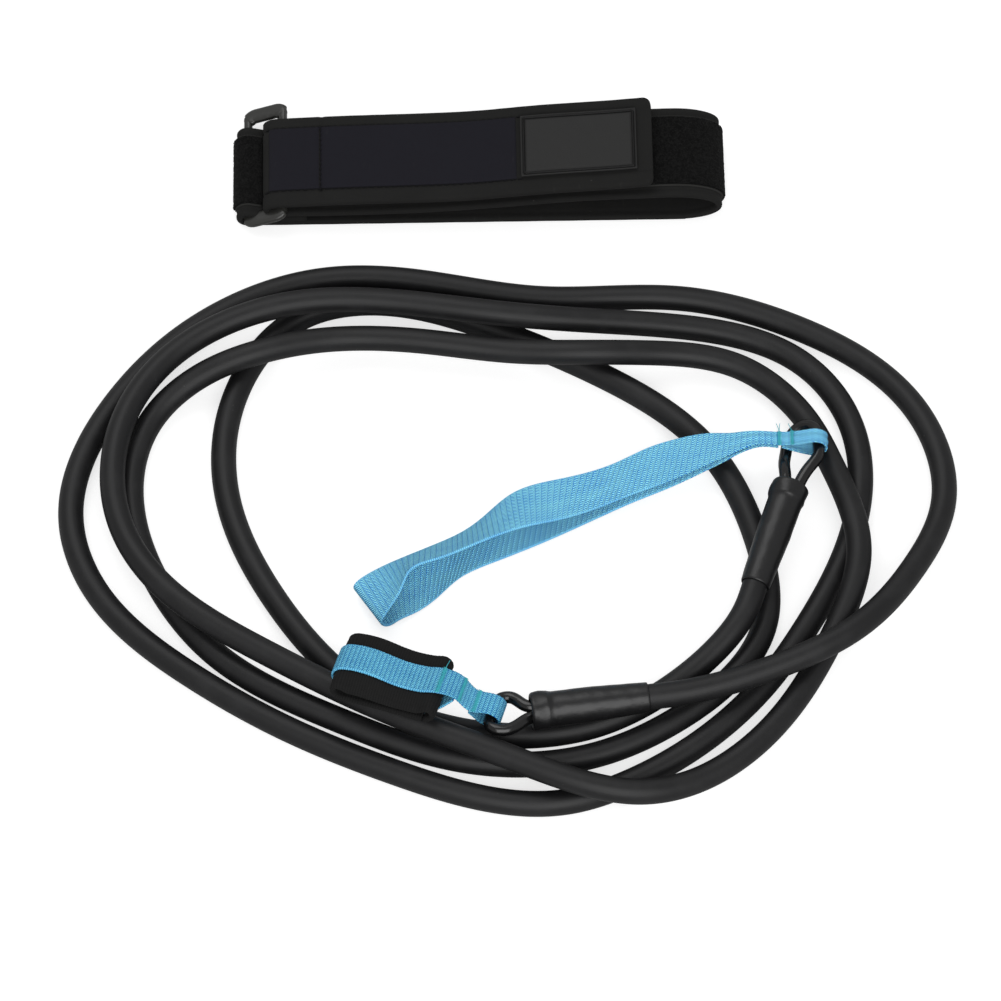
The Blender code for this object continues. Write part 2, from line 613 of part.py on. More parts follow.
def cuff_loop(builder, looks):
    """The padded loop, its webbing with the eye on the cord, and the thread bars."""
    turn = Matrix.Rotation(CUFF_HEADING, 3, "Z") @ Matrix.Rotation(CUFF_ROLL, 3, "X")
    along, across, up = (np.array(turn @ Vector(axis)) for axis in ((1, 0, 0), (0, 1, 0), (0, 0, 1)))
    middle = np.array(CUFF_MIDDLE)
    eye = np.array(CUFF_EYE)
    pivot = builder.empty("cuff_pivot", CUFF_EYE, builder.layout)
    radius = CUFF_HEIGHT / 2
    reach = CUFF_LENGTH / 2 - radius
    end = middle + reach * along

    def arc(side, inset, start, stop, width, count=9):
        """Rows round one end of the loop, at an inset from its outside, from one angle to another."""
        rows = []
        for angle in np.radians(np.linspace(start, stop, count)):
            flat = (side * reach + (radius - inset) * cos(angle)) * along + (radius - inset) * sin(angle) * up
            rows.append((*(middle + flat), *across, width))
        return rows

    def flat(side, inset, width):
        """Rows along the flat underside or top between the round ends, in the way that the loop goes round."""
        places = np.array(FLAT_SHARES)[:, None] * side * reach * along
        return [(*(middle + place + side * (radius - inset) * up), *across, width) for place in places]

    inset = CUFF_PAD_THICKNESS / 2
    pad = arc(1, inset, -90, 90, CUFF_PAD_WIDTH) + arc(-1, inset, 90, 270, CUFF_PAD_WIDTH)
    pad.append(pad[0])
    pad = evenly_spaced(np.array(pad), CUFF_PAD_THICKNESS / 4)
    pad = between(pad, CUFF_PAD_SEAM_SHARE, 1 - CUFF_PAD_SEAM_SHARE)
    lay_strip(builder, "cuff_pad", pad, CUFF_PAD_THICKNESS, looks["pad"], pivot, CUFF_EYE)

    flat_eye = eye - end
    flat_eye[2] = 0.0
    axis = np.array((cos(CUFF_EYE_TURN), sin(CUFF_EYE_TURN), 0.0))
    over = -(CLEARANCE + CUFF_WEBBING_THICKNESS / 2)
    wide = CUFF_WEBBING_WIDTH

    def neck_row(row):
        share, aside, height = row
        place = end + share * flat_eye + aside * CUFF_WEBBING_WIDTH * across
        place[2] = end[2] + height * CUFF_HEIGHT
        slant = (1 - share) * across + share * axis
        return (*place, *(slant / np.linalg.norm(slant)), wide + share * (CUFF_NECK_WIDTH - wide))

    lower = [neck_row(row) for row in CUFF_LOWER_SHARES]
    upper = [neck_row(row) for row in CUFF_UPPER_SHARES]
    way = eye - np.array(upper[-1][:3])
    way -= way.dot(axis) * axis
    way /= np.linalg.norm(way)
    rows = [lower[-1]] + arc(1, over, -40, -90, wide, 5) + flat(-1, over, wide)
    rows += arc(-1, over, 270, 90, wide) + flat(1, over, wide)
    rows += upper + eye_rows(eye, way, axis, CUFF_NECK_WIDTH) + lower[:1]
    track = cloth_track(rows)
    lay_strip(
        builder, "cuff_webbing", track, CUFF_WEBBING_THICKNESS, looks["webbing"], pivot, CUFF_EYE, strips=2
    )
    for number, share in enumerate(CUFF_BAR_SHARES):
        thread_bar(
            builder, f"cuff_bartack_{number + 1}", track, share, CUFF_WEBBING_THICKNESS, looks["thread"], pivot,
            CUFF_EYE,
        )


class Belt:
    """The folded belt: one band round both bars of a ring, with pile outside, and its closing flap on top."""

    def __init__(self, builder, looks):
        self.builder, self.looks = builder, looks
        self.frame = builder.empty("belt_frame", BELT_MIDDLE, builder.layout, BELT_HEADING)
        self.half = BELT_THICKNESS / 2
        self.wrap = RING_WIRE / 2 + WRAP_CLEARANCE + self.half
        self.start = -BELT_REACH / 2
        self.tab = self.half + BELT_THICKNESS + LAYER_GAP
        self.under = self.tab + BELT_THICKNESS + LAYER_GAP
        self.low = Vector((self.start, 0.0, self.half + self.wrap))
        rise = self.under + self.wrap - self.low.z
        self.lean = asin(rise / RING_SPAN)
        self.high = Vector((self.start + RING_SPAN * cos(self.lean), 0.0, self.low.z + rise))
        self.over = self.high.z + self.wrap
        self.seam = Vector((self.start + FLAP_SEAM, 0.0, self.over + FLAP_SEAM_RISE))

    def track(self, points):
        """A smooth track from places (x, z), with the belt's width across it."""
        return cloth_track([(x, 0.0, z, 0.0, 1.0, 0.0, BELT_WIDTH) for x, z in points])

    def oval(self, middle, long, high, start, stop, count=9):
        """Places on an oval round the middle, from one angle to another in degrees."""
        angles = np.radians(np.linspace(start, stop, count))
        return [(middle.x + long * cos(angle), middle.z + high * sin(angle)) for angle in angles]

    def place(self, share, height):
        return (self.start + share * BELT_REACH, height)

    def band(self):
        fold_high = (FOLD_HEIGHT - self.half) / 2
        fold = Vector((BELT_REACH / 2 - FOLD_DEPTH, 0.0, self.half + fold_high))
        tab_end = self.start + TAB_LENGTH
        points = [(tab_end, self.tab), (tab_end - TAB_LENGTH / 2, self.tab)]
        points += self.oval(self.low, self.wrap, self.wrap, 66, 270)
        points += [self.place(share, self.half) for share in FLOOR_SHARES]
        points += self.oval(fold, FOLD_DEPTH, fold_high, -70, 90)
        points += [self.place(share, height * FOLD_HEIGHT) for share, height in MIDDLE_LAYER_SHARES]
        points += [(self.high.x + self.wrap, self.under)]
        points += self.oval(self.high, self.wrap + LOOP_SLACK, self.wrap, 270, 90)
        points += [((self.high.x + self.seam.x) / 2, (self.over + self.seam.z) / 2), (self.seam.x, self.seam.z)]
        track = self.track(points)
        track[track[:, 2] < self.half + CLEARANCE, 2] = self.half
        lay_strip(self.builder, "belt_band", track, BELT_THICKNESS, self.looks["belt"], self.frame)
        lift = self.half + CLEARANCE + PILE_THICKNESS / 2
        self.facing_strip("belt_loop_pile", track, FOLD_PILE_SHARES, -lift, PILE_WIDTH, PILE_THICKNESS, "pile")
        self.facing_strip("ring_tab_pile", track, TAB_PILE_SHARES, -lift, PILE_WIDTH, PILE_THICKNESS, "pile")

    def facing_strip(
        self, name, track, shares, lift, width, thickness, look, parent=None, away=Vector(), shift=0.0
    ):
        """A facing laid on one side of a track, over part of its length."""
        part = facing(between(track, *shares), lift)
        part[:, 1] += shift
        part[:, 6] = width
        return lay_strip(self.builder, name, part, thickness, self.looks[look], parent or self.frame, away)

    def ring(self):
        """The oblong ring, leaning from its low bar to its high bar."""
        lean = (self.high - self.low).normalized()
        middle = (self.low + self.high) / 2 + Vector((0.0, RING_SHIFT, 0.0))
        bend = RING_CORNER - RING_WIRE / 2
        side = RING_LENGTH / 2 - RING_WIRE / 2
        points = []
        for quarter, (x_sign, y_sign) in enumerate(((1, 1), (-1, 1), (-1, -1), (1, -1))):
            for angle in np.radians(np.linspace(90 * quarter, 90 * quarter + 90, 5)):
                x = x_sign * (RING_SPAN / 2 - bend) + bend * cos(angle)
                y = y_sign * (side - bend) + bend * sin(angle)
                points.append(middle + lean * x + Vector((0.0, y, 0.0)))
        item = self.builder.tube("belt_ring", points, RING_WIRE, self.looks["ring"], self.frame)
        item.data.splines[0].use_cyclic_u = True

    def flap(self):
        hinge = self.seam + Vector((CLEARANCE, 0.0, self.half))
        pivot = self.builder.empty("flap_hinge", hinge, self.frame)
        track = self.track([
            (self.seam.x + CLEARANCE + along * FLAP_LENGTH, self.seam.z + rise * FLAP_RISE)
            for along, rise in FLAP_STATION_SHARES
        ])
        tip = np.linalg.norm(track[:, :3] - track[-1, :3], axis=1)
        into_corner = np.clip(FLAP_CORNER - tip, 0.0, FLAP_CORNER)
        rounded = track.copy()
        rounded[:, 6] -= 2 * (FLAP_CORNER - np.sqrt(FLAP_CORNER ** 2 - into_corner ** 2))
        tail = FLAP_CORNER / line_length(track[:, :3])
        places = np.concatenate([
            by_bend(between(rounded, 0.0, 1 - tail))[:-1],
            evenly_spaced(between(rounded, 1 - tail, 1.0), FLAP_CORNER / 5),
        ])
        self.builder.ribbon(
            "belt_flap", places[:, :3], places[:, 3:6], places[:, 6], BELT_THICKNESS, self.looks["belt"], pivot,
            hinge,
        )
        for name, shares, side, width, thickness, look, shift in (
            ("flap_lining", LINING_SHARES, 1, LINING_WIDTH, LINING_THICKNESS, "lining", LINING_SHIFT),
            ("flap_hook_patch", HOOK_SHARES, -1, HOOK_WIDTH, HOOK_THICKNESS, "hook", 0.0),
            ("badge_patch", BADGE_SHARES, 1, BADGE_WIDTH, BADGE_THICKNESS, "badge", BADGE_SHIFT),
        ):
            lift = side * (self.half + CLEARANCE + thickness / 2)
            self.facing_strip(name, track, shares, lift, width, thickness, look, pivot, hinge, shift)


def main():
    clear_scene()
    builder = Builder()
    looks = {
        "tube": material("elastic tube rubber", (0.020, 0.020, 0.022), 0.42),
        "sleeve": material("moulded sleeve", (0.012, 0.012, 0.013), 0.33),
        "plug": material("plug", (0.05, 0.05, 0.055), 0.5),
        "cord": material("loop cord", (0.008, 0.008, 0.009), 0.22),
        "webbing": material("blue webbing", (0.115, 0.43, 0.75), 0.7),
        "thread": material("teal thread", (0.02, 0.32, 0.36), 0.6),
        "pad": material("cuff pad foam", (0.010, 0.010, 0.011), 0.8),
        "belt": material("belt fabric", (0.016, 0.016, 0.016), 0.75),
        "lining": material("navy lining", (0.015, 0.015, 0.020), 0.7),
        "pile": material("loop pile", (0.006, 0.006, 0.006), 0.95),
        "hook": material("hook tape", (0.008, 0.008, 0.008), 0.9),
        "badge": material("rubber badge", (0.034, 0.034, 0.034), 0.6),
        "ring": material("ring plastic", (0.020, 0.020, 0.020), 0.35),
    }
    anchor = Fitting(builder, "anchor", ANCHOR_SLEEVE_LIP, ANCHOR_SLEEVE_HEADING, ANCHOR_SLEEVE_PITCH, looks)
    cuff = Fitting(builder, "cuff", CUFF_SLEEVE_LIP, CUFF_SLEEVE_HEADING, CUFF_SLEEVE_PITCH, looks)
    for fitting in (anchor, cuff):
        fitting.sleeve()
        fitting.plug()
    elastic_tube(builder, anchor, cuff, looks)
    anchor.cord(vectors(ANCHOR_CORD_MM))
    cuff.cord(vectors(CUFF_CORD_MM))
    anchor_strap(builder, looks)
    cuff_loop(builder, looks)
    belt = Belt(builder, looks)
    belt.band()
    belt.ring()
    belt.flap()


main()
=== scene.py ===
"""Looks of a stationary swim tether: a folded waist belt, a looped elastic tube with a moulded fitting at
each end, a webbing anchor strap and a padded cuff, on a white floor. Metres, +Z up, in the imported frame."""

from __future__ import annotations

import logging
from dataclasses import dataclass, field
from enum import Enum
from math import asin, cos, pi, radians, sin
from typing import Callable, Sequence

import bpy
import numpy as np
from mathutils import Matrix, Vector


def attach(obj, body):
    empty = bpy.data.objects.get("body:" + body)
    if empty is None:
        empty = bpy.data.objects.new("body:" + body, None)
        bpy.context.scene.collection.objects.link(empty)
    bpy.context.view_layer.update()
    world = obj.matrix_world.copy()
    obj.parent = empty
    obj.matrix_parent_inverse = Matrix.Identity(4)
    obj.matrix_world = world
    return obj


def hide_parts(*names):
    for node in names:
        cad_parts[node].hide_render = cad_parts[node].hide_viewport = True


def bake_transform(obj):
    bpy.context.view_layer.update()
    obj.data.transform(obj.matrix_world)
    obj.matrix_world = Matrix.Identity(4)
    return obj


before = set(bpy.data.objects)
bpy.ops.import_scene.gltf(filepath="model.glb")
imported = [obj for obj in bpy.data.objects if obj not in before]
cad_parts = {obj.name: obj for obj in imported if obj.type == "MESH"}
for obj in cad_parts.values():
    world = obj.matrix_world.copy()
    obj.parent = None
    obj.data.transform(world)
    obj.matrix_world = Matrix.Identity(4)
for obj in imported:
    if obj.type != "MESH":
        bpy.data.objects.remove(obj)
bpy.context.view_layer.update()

Array = np.ndarray
Faces = list[tuple[int, ...]]
Relief = Callable[[Array, Array, Array], Array]
Place = tuple[float, float, float]
Colour = tuple[float, float, float]
Settings = dict[str, object] | None
Inputs = dict[str | int, object] | None
LOG = logging.getLogger("swim_tether")

MM = 0.001
QUARTER_TURN = radians(90)
# The pieces are laid out in a plan whose own origin lies under the tube; this moves it under the fittings.
LAYOUT_MIDDLE = np.array((0.0126, 0.0417, 0.0))
UP = np.array((0.0, 0.0, 1.0))
DIRECTION_WEIGHT = 0.01
SMOOTH_COUNT = 2400
SEED = 11
UV_NAME = "surface"
STITCH_STEPS = 7
STITCH_SIDES = 6
STITCH_TIP = 0.2


# Lines and tracks


def rows(table: Sequence[Sequence[float]]) -> Array:
    """A table of places in millimetres, as an array in metres."""
    return np.array(table, float) * MM


def run_along(points: Array) -> Array:
    """The distance of each place from the line's start, summed over the straight steps between places."""
    steps = np.linalg.norm(np.diff(points[:, :3], axis=0), axis=1)
    return np.concatenate([[0.0], np.cumsum(steps)])


def natural_spline(points: Array, count: int) -> Array:
    """A natural cubic spline through the points: between two knots the second slope runs in a straight line,
    and at both ends it is nothing.

    Args:
        points: Knots, one row each, spaced by their own straight distance.
        count: How many places come back.

    Returns:
        Places spread evenly over the summed distance between the knots.
    """
    points = np.asarray(points, float)
    chords = np.linalg.norm(np.diff(points, axis=0), axis=1)
    knots = np.concatenate([[0.0], np.cumsum(chords)])
    gaps = np.diff(knots)
    inner = np.arange(1, len(points) - 1)
    system = np.eye(len(points))
    system[inner, inner - 1] = gaps[:-1]
    system[inner, inner] = 2 * (gaps[:-1] + gaps[1:])
    system[inner, inner + 1] = gaps[1:]
    bend = np.zeros_like(points)
    bend[1:-1] = 6 * np.diff(np.diff(points, axis=0) / gaps[:, None], axis=0)
    bend = np.linalg.solve(system, bend)
    at = np.linspace(0.0, knots[-1], count)
    i = np.clip(np.searchsorted(knots, at, side="right") - 1, 0, len(points) - 2)
    after, before, gap = (knots[i + 1] - at)[:, None], (at - knots[i])[:, None], gaps[i][:, None]
    curve = (bend[i] * after ** 3 + bend[i + 1] * before ** 3) / (6 * gap)
    curve += (points[i] / gap - bend[i] * gap / 6) * after
    return curve + (points[i + 1] / gap - bend[i + 1] * gap / 6) * before


def evenly(points: Array, step: float) -> Array:
    """The same line with its places about one step apart, read off straight between the old places.

    Args:
        points: The rows of the line, whose first three columns are places.
        step: The step aimed at.

    Returns:
        The new rows, of which the first and last are the old ones.
    """
    run = run_along(points)
    at = np.linspace(0.0, run[-1], max(2, round(run[-1] / step)) + 1)
    return np.stack([np.interp(at, run, column) for column in points.T], axis=1)


def unit(vectors: Array) -> Array:
    """Each row divided by its own length."""
    return vectors / np.linalg.norm(vectors, axis=-1, keepdims=True)


def heading(turn: float, pitch: float = 0.0) -> Array:
    """The direction at a turn from +X about +Z, raised by a pitch, both in radians."""
    return np.array((cos(turn) * cos(pitch), sin(turn) * cos(pitch), sin(pitch)))


def right_of(turn: float) -> Array:
    """The level direction to the right of a heading."""
    return np.array((sin(turn), -cos(turn), 0.0))


def eased(share: Array) -> Array:
    """A share from 0 to 1 that leaves and arrives level: 3 s squared less 2 s cubed."""
    return share ** 2 * (3 - 2 * share)


def hump(value: Array, middle: float, reach: float) -> Array:
    """A bell that is 1 at the middle: e to the power of minus the squared distance in reaches."""
    return np.exp(-((value - middle) / reach) ** 2)


@dataclass
class Track:
    """A strip of cloth as a line: its middle, the direction of its width, and its width.

    Each row holds the middle in columns 0 to 2, the direction across in 3 to 5 and the width in the last.
    """

    table: Array

    @classmethod
    def through(cls, stations: Sequence[Sequence[float]]) -> Track:
        """A smooth track through stations, with the direction weighed as a length so that it turns evenly.

        Args:
            stations: Rows of the middle, the direction across and the width.

        Returns:
            The track.
        """
        table = np.array(stations, float)
        table[:, 3:6] *= DIRECTION_WEIGHT
        return cls(natural_spline(table, SMOOTH_COUNT)).squared()

    def squared(self) -> Track:
        """The same track with its directions one long again.

        Returns:
            The track.
        """
        table = self.table.copy()
        table[:, 3:6] = unit(table[:, 3:6])
        return Track(table)

    @property
    def middles(self) -> Array:
        """The places of the middle line."""
        return self.table[:, :3]

    @property
    def across(self) -> Array:
        """The directions of the width."""
        return self.table[:, 3:6]

    @property
    def widths(self) -> Array:
        """The widths."""
        return self.table[:, 6]

    @property
    def along(self) -> Array:
        """The direction of travel: the slope of the middle line, one long."""
        return unit(np.gradient(self.middles, axis=0))

    @property
    def face(self) -> Array:
        """The direction off the face: travel crossed with the width's direction, one long."""
        return unit(np.cross(self.along, self.across))

    @property
    def length(self) -> float:
        """The length of the middle line."""
        return float(run_along(self.table)[-1])

    def between(self, start: float, stop: float) -> Track:
        """The part from one share of the length to another.

        Args:
            start: The share where it starts.
            stop: The share where it stops.

        Returns:
            The part, as a track.
        """
        run = run_along(self.table)
        inside = (run > start * run[-1]) & (run < stop * run[-1])
        at = np.concatenate([[start * run[-1]], run[inside], [stop * run[-1]]])
        return Track(np.stack([np.interp(at, run, column) for column in self.table.T], axis=1))

    def stepped(self, step: float) -> Track:
        """The same track with its places about one step apart."""
        return Track(evenly(self.table, step)).squared()

    def lifted(self, distance: float, shift: Place = (0.0, 0.0, 0.0)) -> Track:
        """The track moved off its own face by a distance, and by a shift.

        Args:
            distance: How far towards the face.
            shift: A further move, in the layout.

        Returns:
            The moved track.
        """
        table = self.table.copy()
        table[:, :3] += distance * self.face + shift
        return Track(table)

    def widened(self, width: float) -> Track:
        """The same track with one width all along.

        Args:
            width: The new width.

        Returns:
            The track.
        """
        table = self.table.copy()
        table[:, 6] = width
        return Track(table)


# Meshes


def grid_faces(count: int, around: int, closed: bool, caps: bool = False) -> Faces:
    """The faces of a grid of places whose second index turns round.

    Args:
        count: Places along.
        around: Places round.
        closed: Whether the last row along joins the first.
        caps: Whether both ends are closed by one face each.

    Returns:
        Four-cornered faces that point out where the places turn counter-clockwise seen against the travel.
    """
    along = np.arange(count if closed else count - 1)
    i, j = (part.ravel() for part in np.meshgrid(along, np.arange(around), indexing="ij"))
    row, after, beside = i * around, (i + 1) % count * around, (j + 1) % around
    faces = np.stack([row + j, row + beside, after + beside, after + j], axis=1)
    listed = [tuple(row) for row in faces.tolist()]
    if caps:
        listed.append(tuple(range(around))[::-1])
        listed.append(tuple(range((count - 1) * around, count * around)))
    return listed


@dataclass(frozen=True)
class Crossing:
    """Cloth that crosses a joint between two bodies, from one place to a second place. A piece given one
    keeps its place but rides on no body.
    """

    first: str
    second: str
    start: Place
    end: Place


@dataclass
class Form:
    """A surface before it is a piece: its places in the layout's plan, the faces between them, and for each
    place a pair of distances in metres along and across the surface."""

    places: Array
    faces: Faces
    uv: Array

    def __post_init__(self) -> None:
        """Lists the places and the pairs one to a row."""
        self.places, self.uv = self.places.reshape(-1, 3), self.uv.reshape(-1, 2)

    @classmethod
    def joined(cls, forms: Sequence[Form]) -> Form:
        """Several forms as one, each with its faces counted on from the form before.

        Args:
            forms: The forms, in order.

        Returns:
            The one form.
        """
        faces, start = [], 0
        for form in forms:
            faces += [tuple(corner + start for corner in face) for face in form.faces]
            start += len(form.places)
        places, uv = (np.concatenate(part) for part in zip(*((form.places, form.uv) for form in forms)))
        return cls(places, faces, uv)

    def piece(self, name: str, look: Look, slot: str, body: str | Crossing, *nodes: str) -> bpy.types.Object:
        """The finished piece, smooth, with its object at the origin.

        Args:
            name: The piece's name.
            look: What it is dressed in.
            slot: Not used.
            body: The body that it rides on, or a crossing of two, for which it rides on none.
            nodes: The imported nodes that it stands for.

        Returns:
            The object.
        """
        mesh = bpy.data.meshes.new(name)
        mesh.from_pydata((self.places - LAYOUT_MIDDLE).tolist(), [], self.faces)
        mesh.polygons.foreach_set("use_smooth", np.ones(len(mesh.polygons), bool))
        layer = mesh.uv_layers.new(name=UV_NAME)
        corner = np.zeros(len(mesh.loops), int)
        mesh.loops.foreach_get("vertex_index", corner)
        layer.data.foreach_set("uv", self.uv[corner].astype(np.float32).ravel())
        mesh.update()
        item = bpy.data.objects.new(name, mesh)
        bpy.context.scene.collection.objects.link(item)
        mesh.materials.append(look.material())
        if isinstance(body, Crossing):
            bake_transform(item)
        else:
            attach(item, body)
        if nodes:
            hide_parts(*nodes)
        LOG.info("%s: %d faces", name, len(self.faces))
        return item


def round_bar(path: Array, radius: float, sides: int, closed: bool = False) -> Form:
    """A round surface about a line: place + radius times (cos a of the level side + sin a of the upper side).

    Args:
        path: The middle line, nowhere upright.
        radius: The bar's radius.
        sides: How many places round.
        closed: Whether the line is a ring. A bar that isn't has a cap on each end.

    Returns:
        The form, with pairs of (distance along, distance round).
    """
    if closed:
        way = unit(np.roll(path, -1, axis=0) - np.roll(path, 1, axis=0))
    else:
        way = unit(np.gradient(path, axis=0))
    side = unit(np.cross(way, UP))
    top = np.cross(side, way)
    angle = np.linspace(0.0, 2 * pi, sides, endpoint=False)
    ring = np.cos(angle)[None, :, None] * side[:, None] + np.sin(angle)[None, :, None] * top[:, None]
    uv = np.stack(np.broadcast_arrays(run_along(path)[:, None], angle[None] * radius), axis=2)
    return Form(path[:, None] + ring * radius, grid_faces(len(path), sides, closed, not closed), uv)


def turned_form(profile: Array, middle: Array, way: Array, wave: Array) -> Form:
    """A surface of revolution: middle + height * way + radius * (cos a of one side + sin a of another).

    Args:
        profile: Rows of (radius, height) in order round the section.
        middle: The place of height nothing.
        way: The axis.
        wave: The share by which the radius differs: a row for each profile row, a column for each side.

    Returns:
        The form, with pairs of (distance along the section, distance round).
    """
    side = unit(np.cross(way, UP))
    top = np.cross(side, way)
    angle = np.linspace(0.0, 2 * pi, wave.shape[1], endpoint=False)
    ring = np.cos(angle)[None, :, None] * side + np.sin(angle)[None, :, None] * top
    places = middle + profile[:, 1][:, None, None] * way + ring * (profile[:, :1] * (1 + wave))[..., None]
    uv = np.stack(np.broadcast_arrays(run_along(profile)[:, None], angle[None] * profile[:, 0].max()), axis=2)
    return Form(places, [face[::-1] for face in grid_faces(*wave.shape, closed=False)], uv)


@dataclass(frozen=True)
class Section:
    """The section of a strip: two flat faces, and edges that are half rounds."""

    thickness: float
    flats: int
    edges: int

    def loop(self, width: Array) -> tuple[Array, Array]:
        """The closed loop of the section: straight faces from edge to edge, and half a circle at each edge.

        Args:
            width: The strip's width at each place.

        Returns:
            For each place, the distances across and the distances off the middle face.
        """
        half = self.thickness / 2
        share = np.linspace(-1.0, 1.0, self.flats + 1)
        bend = np.linspace(-QUARTER_TURN, QUARTER_TURN, self.edges + 2)[1:-1]
        flat = np.maximum(width[:, None] / 2 - half, 0.0)
        edge, rise, level = flat + half * np.cos(bend), half * np.sin(bend), np.full(len(share), half)
        across = np.concatenate([flat * share[::-1], -edge[:, ::-1], flat * share, edge], axis=1)
        return across, np.broadcast_to(np.concatenate([level, rise[::-1], -level, rise]), across.shape)


def strip(track: Track, section: Section, relief: Relief | None = None) -> Form:
    """A strip of cloth: its section carried along the track, pushed off its face by a relief.

    Args:
        track: The strip's middle, directions and widths.
        section: Its thickness and edges.
        relief: The height added, from distance along, distance across and side (1 face, -1 back).

    Returns:
        The form, with pairs of (distance along, distance across).
    """
    across, off = section.loop(track.widths)
    run = np.broadcast_to(run_along(track.table)[:, None], across.shape)
    side = np.sign(off)
    if relief is not None:
        off = off + side * relief(run, across, side)
    places = track.middles[:, None] + across[..., None] * track.across[:, None]
    places += off[..., None] * track.face[:, None]
    return Form(places, grid_faces(*across.shape, closed=False, caps=True), np.stack([run, across], axis=2))


def stitch_row(
    middles: Array, along: Array, across: Array, face: Array, length: float, thickness: float, rise: float
) -> Form:
    """Short threads, each an arch with tapered ends that dives into the cloth.

    The arch's height is rise times the square root of (1 - s squared), for s from -1 to 1 along it.

    Args:
        middles: The middle of each thread's foot.
        along: Its direction.
        across: The direction beside it.
        face: The direction off the cloth.
        length: Its length.
        thickness: Its thread's thickness.
        rise: How far its middle stands off the cloth.

    Returns:
        The form, with pairs of (distance along, distance round).
    """
    steps, sides = STITCH_STEPS, STITCH_SIDES
    share = np.sin(np.linspace(-QUARTER_TURN, QUARTER_TURN, steps))
    angle = np.linspace(0.0, 2 * pi, sides, endpoint=False)
    arch = rise * np.sqrt(np.maximum(1 - share ** 2, 0.0))
    radius = thickness / 2 * np.maximum(1 - share ** 4, STITCH_TIP ** 2) ** 0.5
    x = np.broadcast_to((length / 2 * share)[:, None], (steps, sides))
    y = radius[:, None] * np.cos(angle)[None]
    z = arch[:, None] + radius[:, None] * np.sin(angle)[None]
    one = np.stack([x, y, z], axis=2).reshape(-1, 3)
    axes = np.stack(np.broadcast_arrays(middles, along, across, face)[1:], axis=1)
    places = middles[:, None] + one @ axes
    quads = np.array(grid_faces(steps, sides, closed=False))
    caps = np.array([list(range(sides))[::-1], list(range((steps - 1) * sides, steps * sides))])
    starts = (np.arange(len(middles)) * steps * sides)[:, None, None]
    faces = [tuple(row) for part in (quads, caps) for row in np.concatenate(part + starts).tolist()]
    pair = np.stack(np.broadcast_arrays(x, angle * thickness / 2), axis=2).reshape(1, -1, 2)
    return Form(places, faces, np.broadcast_to(pair, (len(middles), len(one), 2)))


# Shader expressions


class Value:
    """A number or colour that a material works out, as one output socket. Sums on it add Math nodes."""

    def __init__(self, recipe: Recipe, socket: bpy.types.NodeSocket) -> None:
        """Wraps an output socket of the recipe."""
        self.recipe, self.socket = recipe, socket

    def _math(self, operation: str, *others: Value | float) -> Value:
        """One Math node of this value and the others."""
        inputs = {number: value for number, value in enumerate((self, *others))}
        return self.recipe.value("ShaderNodeMath", {"operation": operation}, inputs)

    def __add__(self, other: Value | float) -> Value:
        """The sum."""
        return self._math("ADD", other)

    __radd__ = __add__

    def __sub__(self, other: Value | float) -> Value:
        """The difference."""
        return self._math("SUBTRACT", other)

    def __rsub__(self, other: float) -> Value:
        """The difference from a number."""
        return self._math("MULTIPLY_ADD", -1.0, other)

    def __mul__(self, other: Value | float) -> Value:
        """The product."""
        return self._math("MULTIPLY", other)

    __rmul__ = __mul__

    def __pow__(self, other: float) -> Value:
        """The power."""
        return self._math("POWER", other)

    def __abs__(self) -> Value:
        """The size without its sign."""
        return self._math("ABSOLUTE")

    def sine(self) -> Value:
        """The sine of this value in radians."""
        return self._math("SINE")

    def wave(self, pitch: float) -> Value:
        """From 0 to 1 and back once in each pitch."""
        return (self * (2 * pi / pitch)).sine() * 0.5 + 0.5

    def floor(self) -> Value:
        """The whole number below."""
        return self._math("FLOOR")

    def modulo(self, pitch: float) -> Value:
        """What is left over a multiple of the pitch, never below nothing."""
        return self._math("FLOORED_MODULO", pitch)

    def above(self, limit: Value | float) -> Value:
        """1 where this is more than the limit, else 0."""
        return self._math("GREATER_THAN", limit)

    def smaller(self, other: Value | float) -> Value:
        """The smaller of two."""
        return self._math("MINIMUM", other)

    def larger(self, other: Value | float) -> Value:
        """The larger of two."""
        return self._math("MAXIMUM", other)

    def clamped(self) -> Value:
        """This value held between 0 and 1."""
        return self.larger(0.0).smaller(1.0)

    def step(self, low: float, high: float) -> Value:
        """0 below low, 1 above high and a smooth rise between."""
        inputs = {"Value": self, "From Min": low, "From Max": high}
        return self.recipe.value("ShaderNodeMapRange", {"interpolation_type": "SMOOTHSTEP"}, inputs)


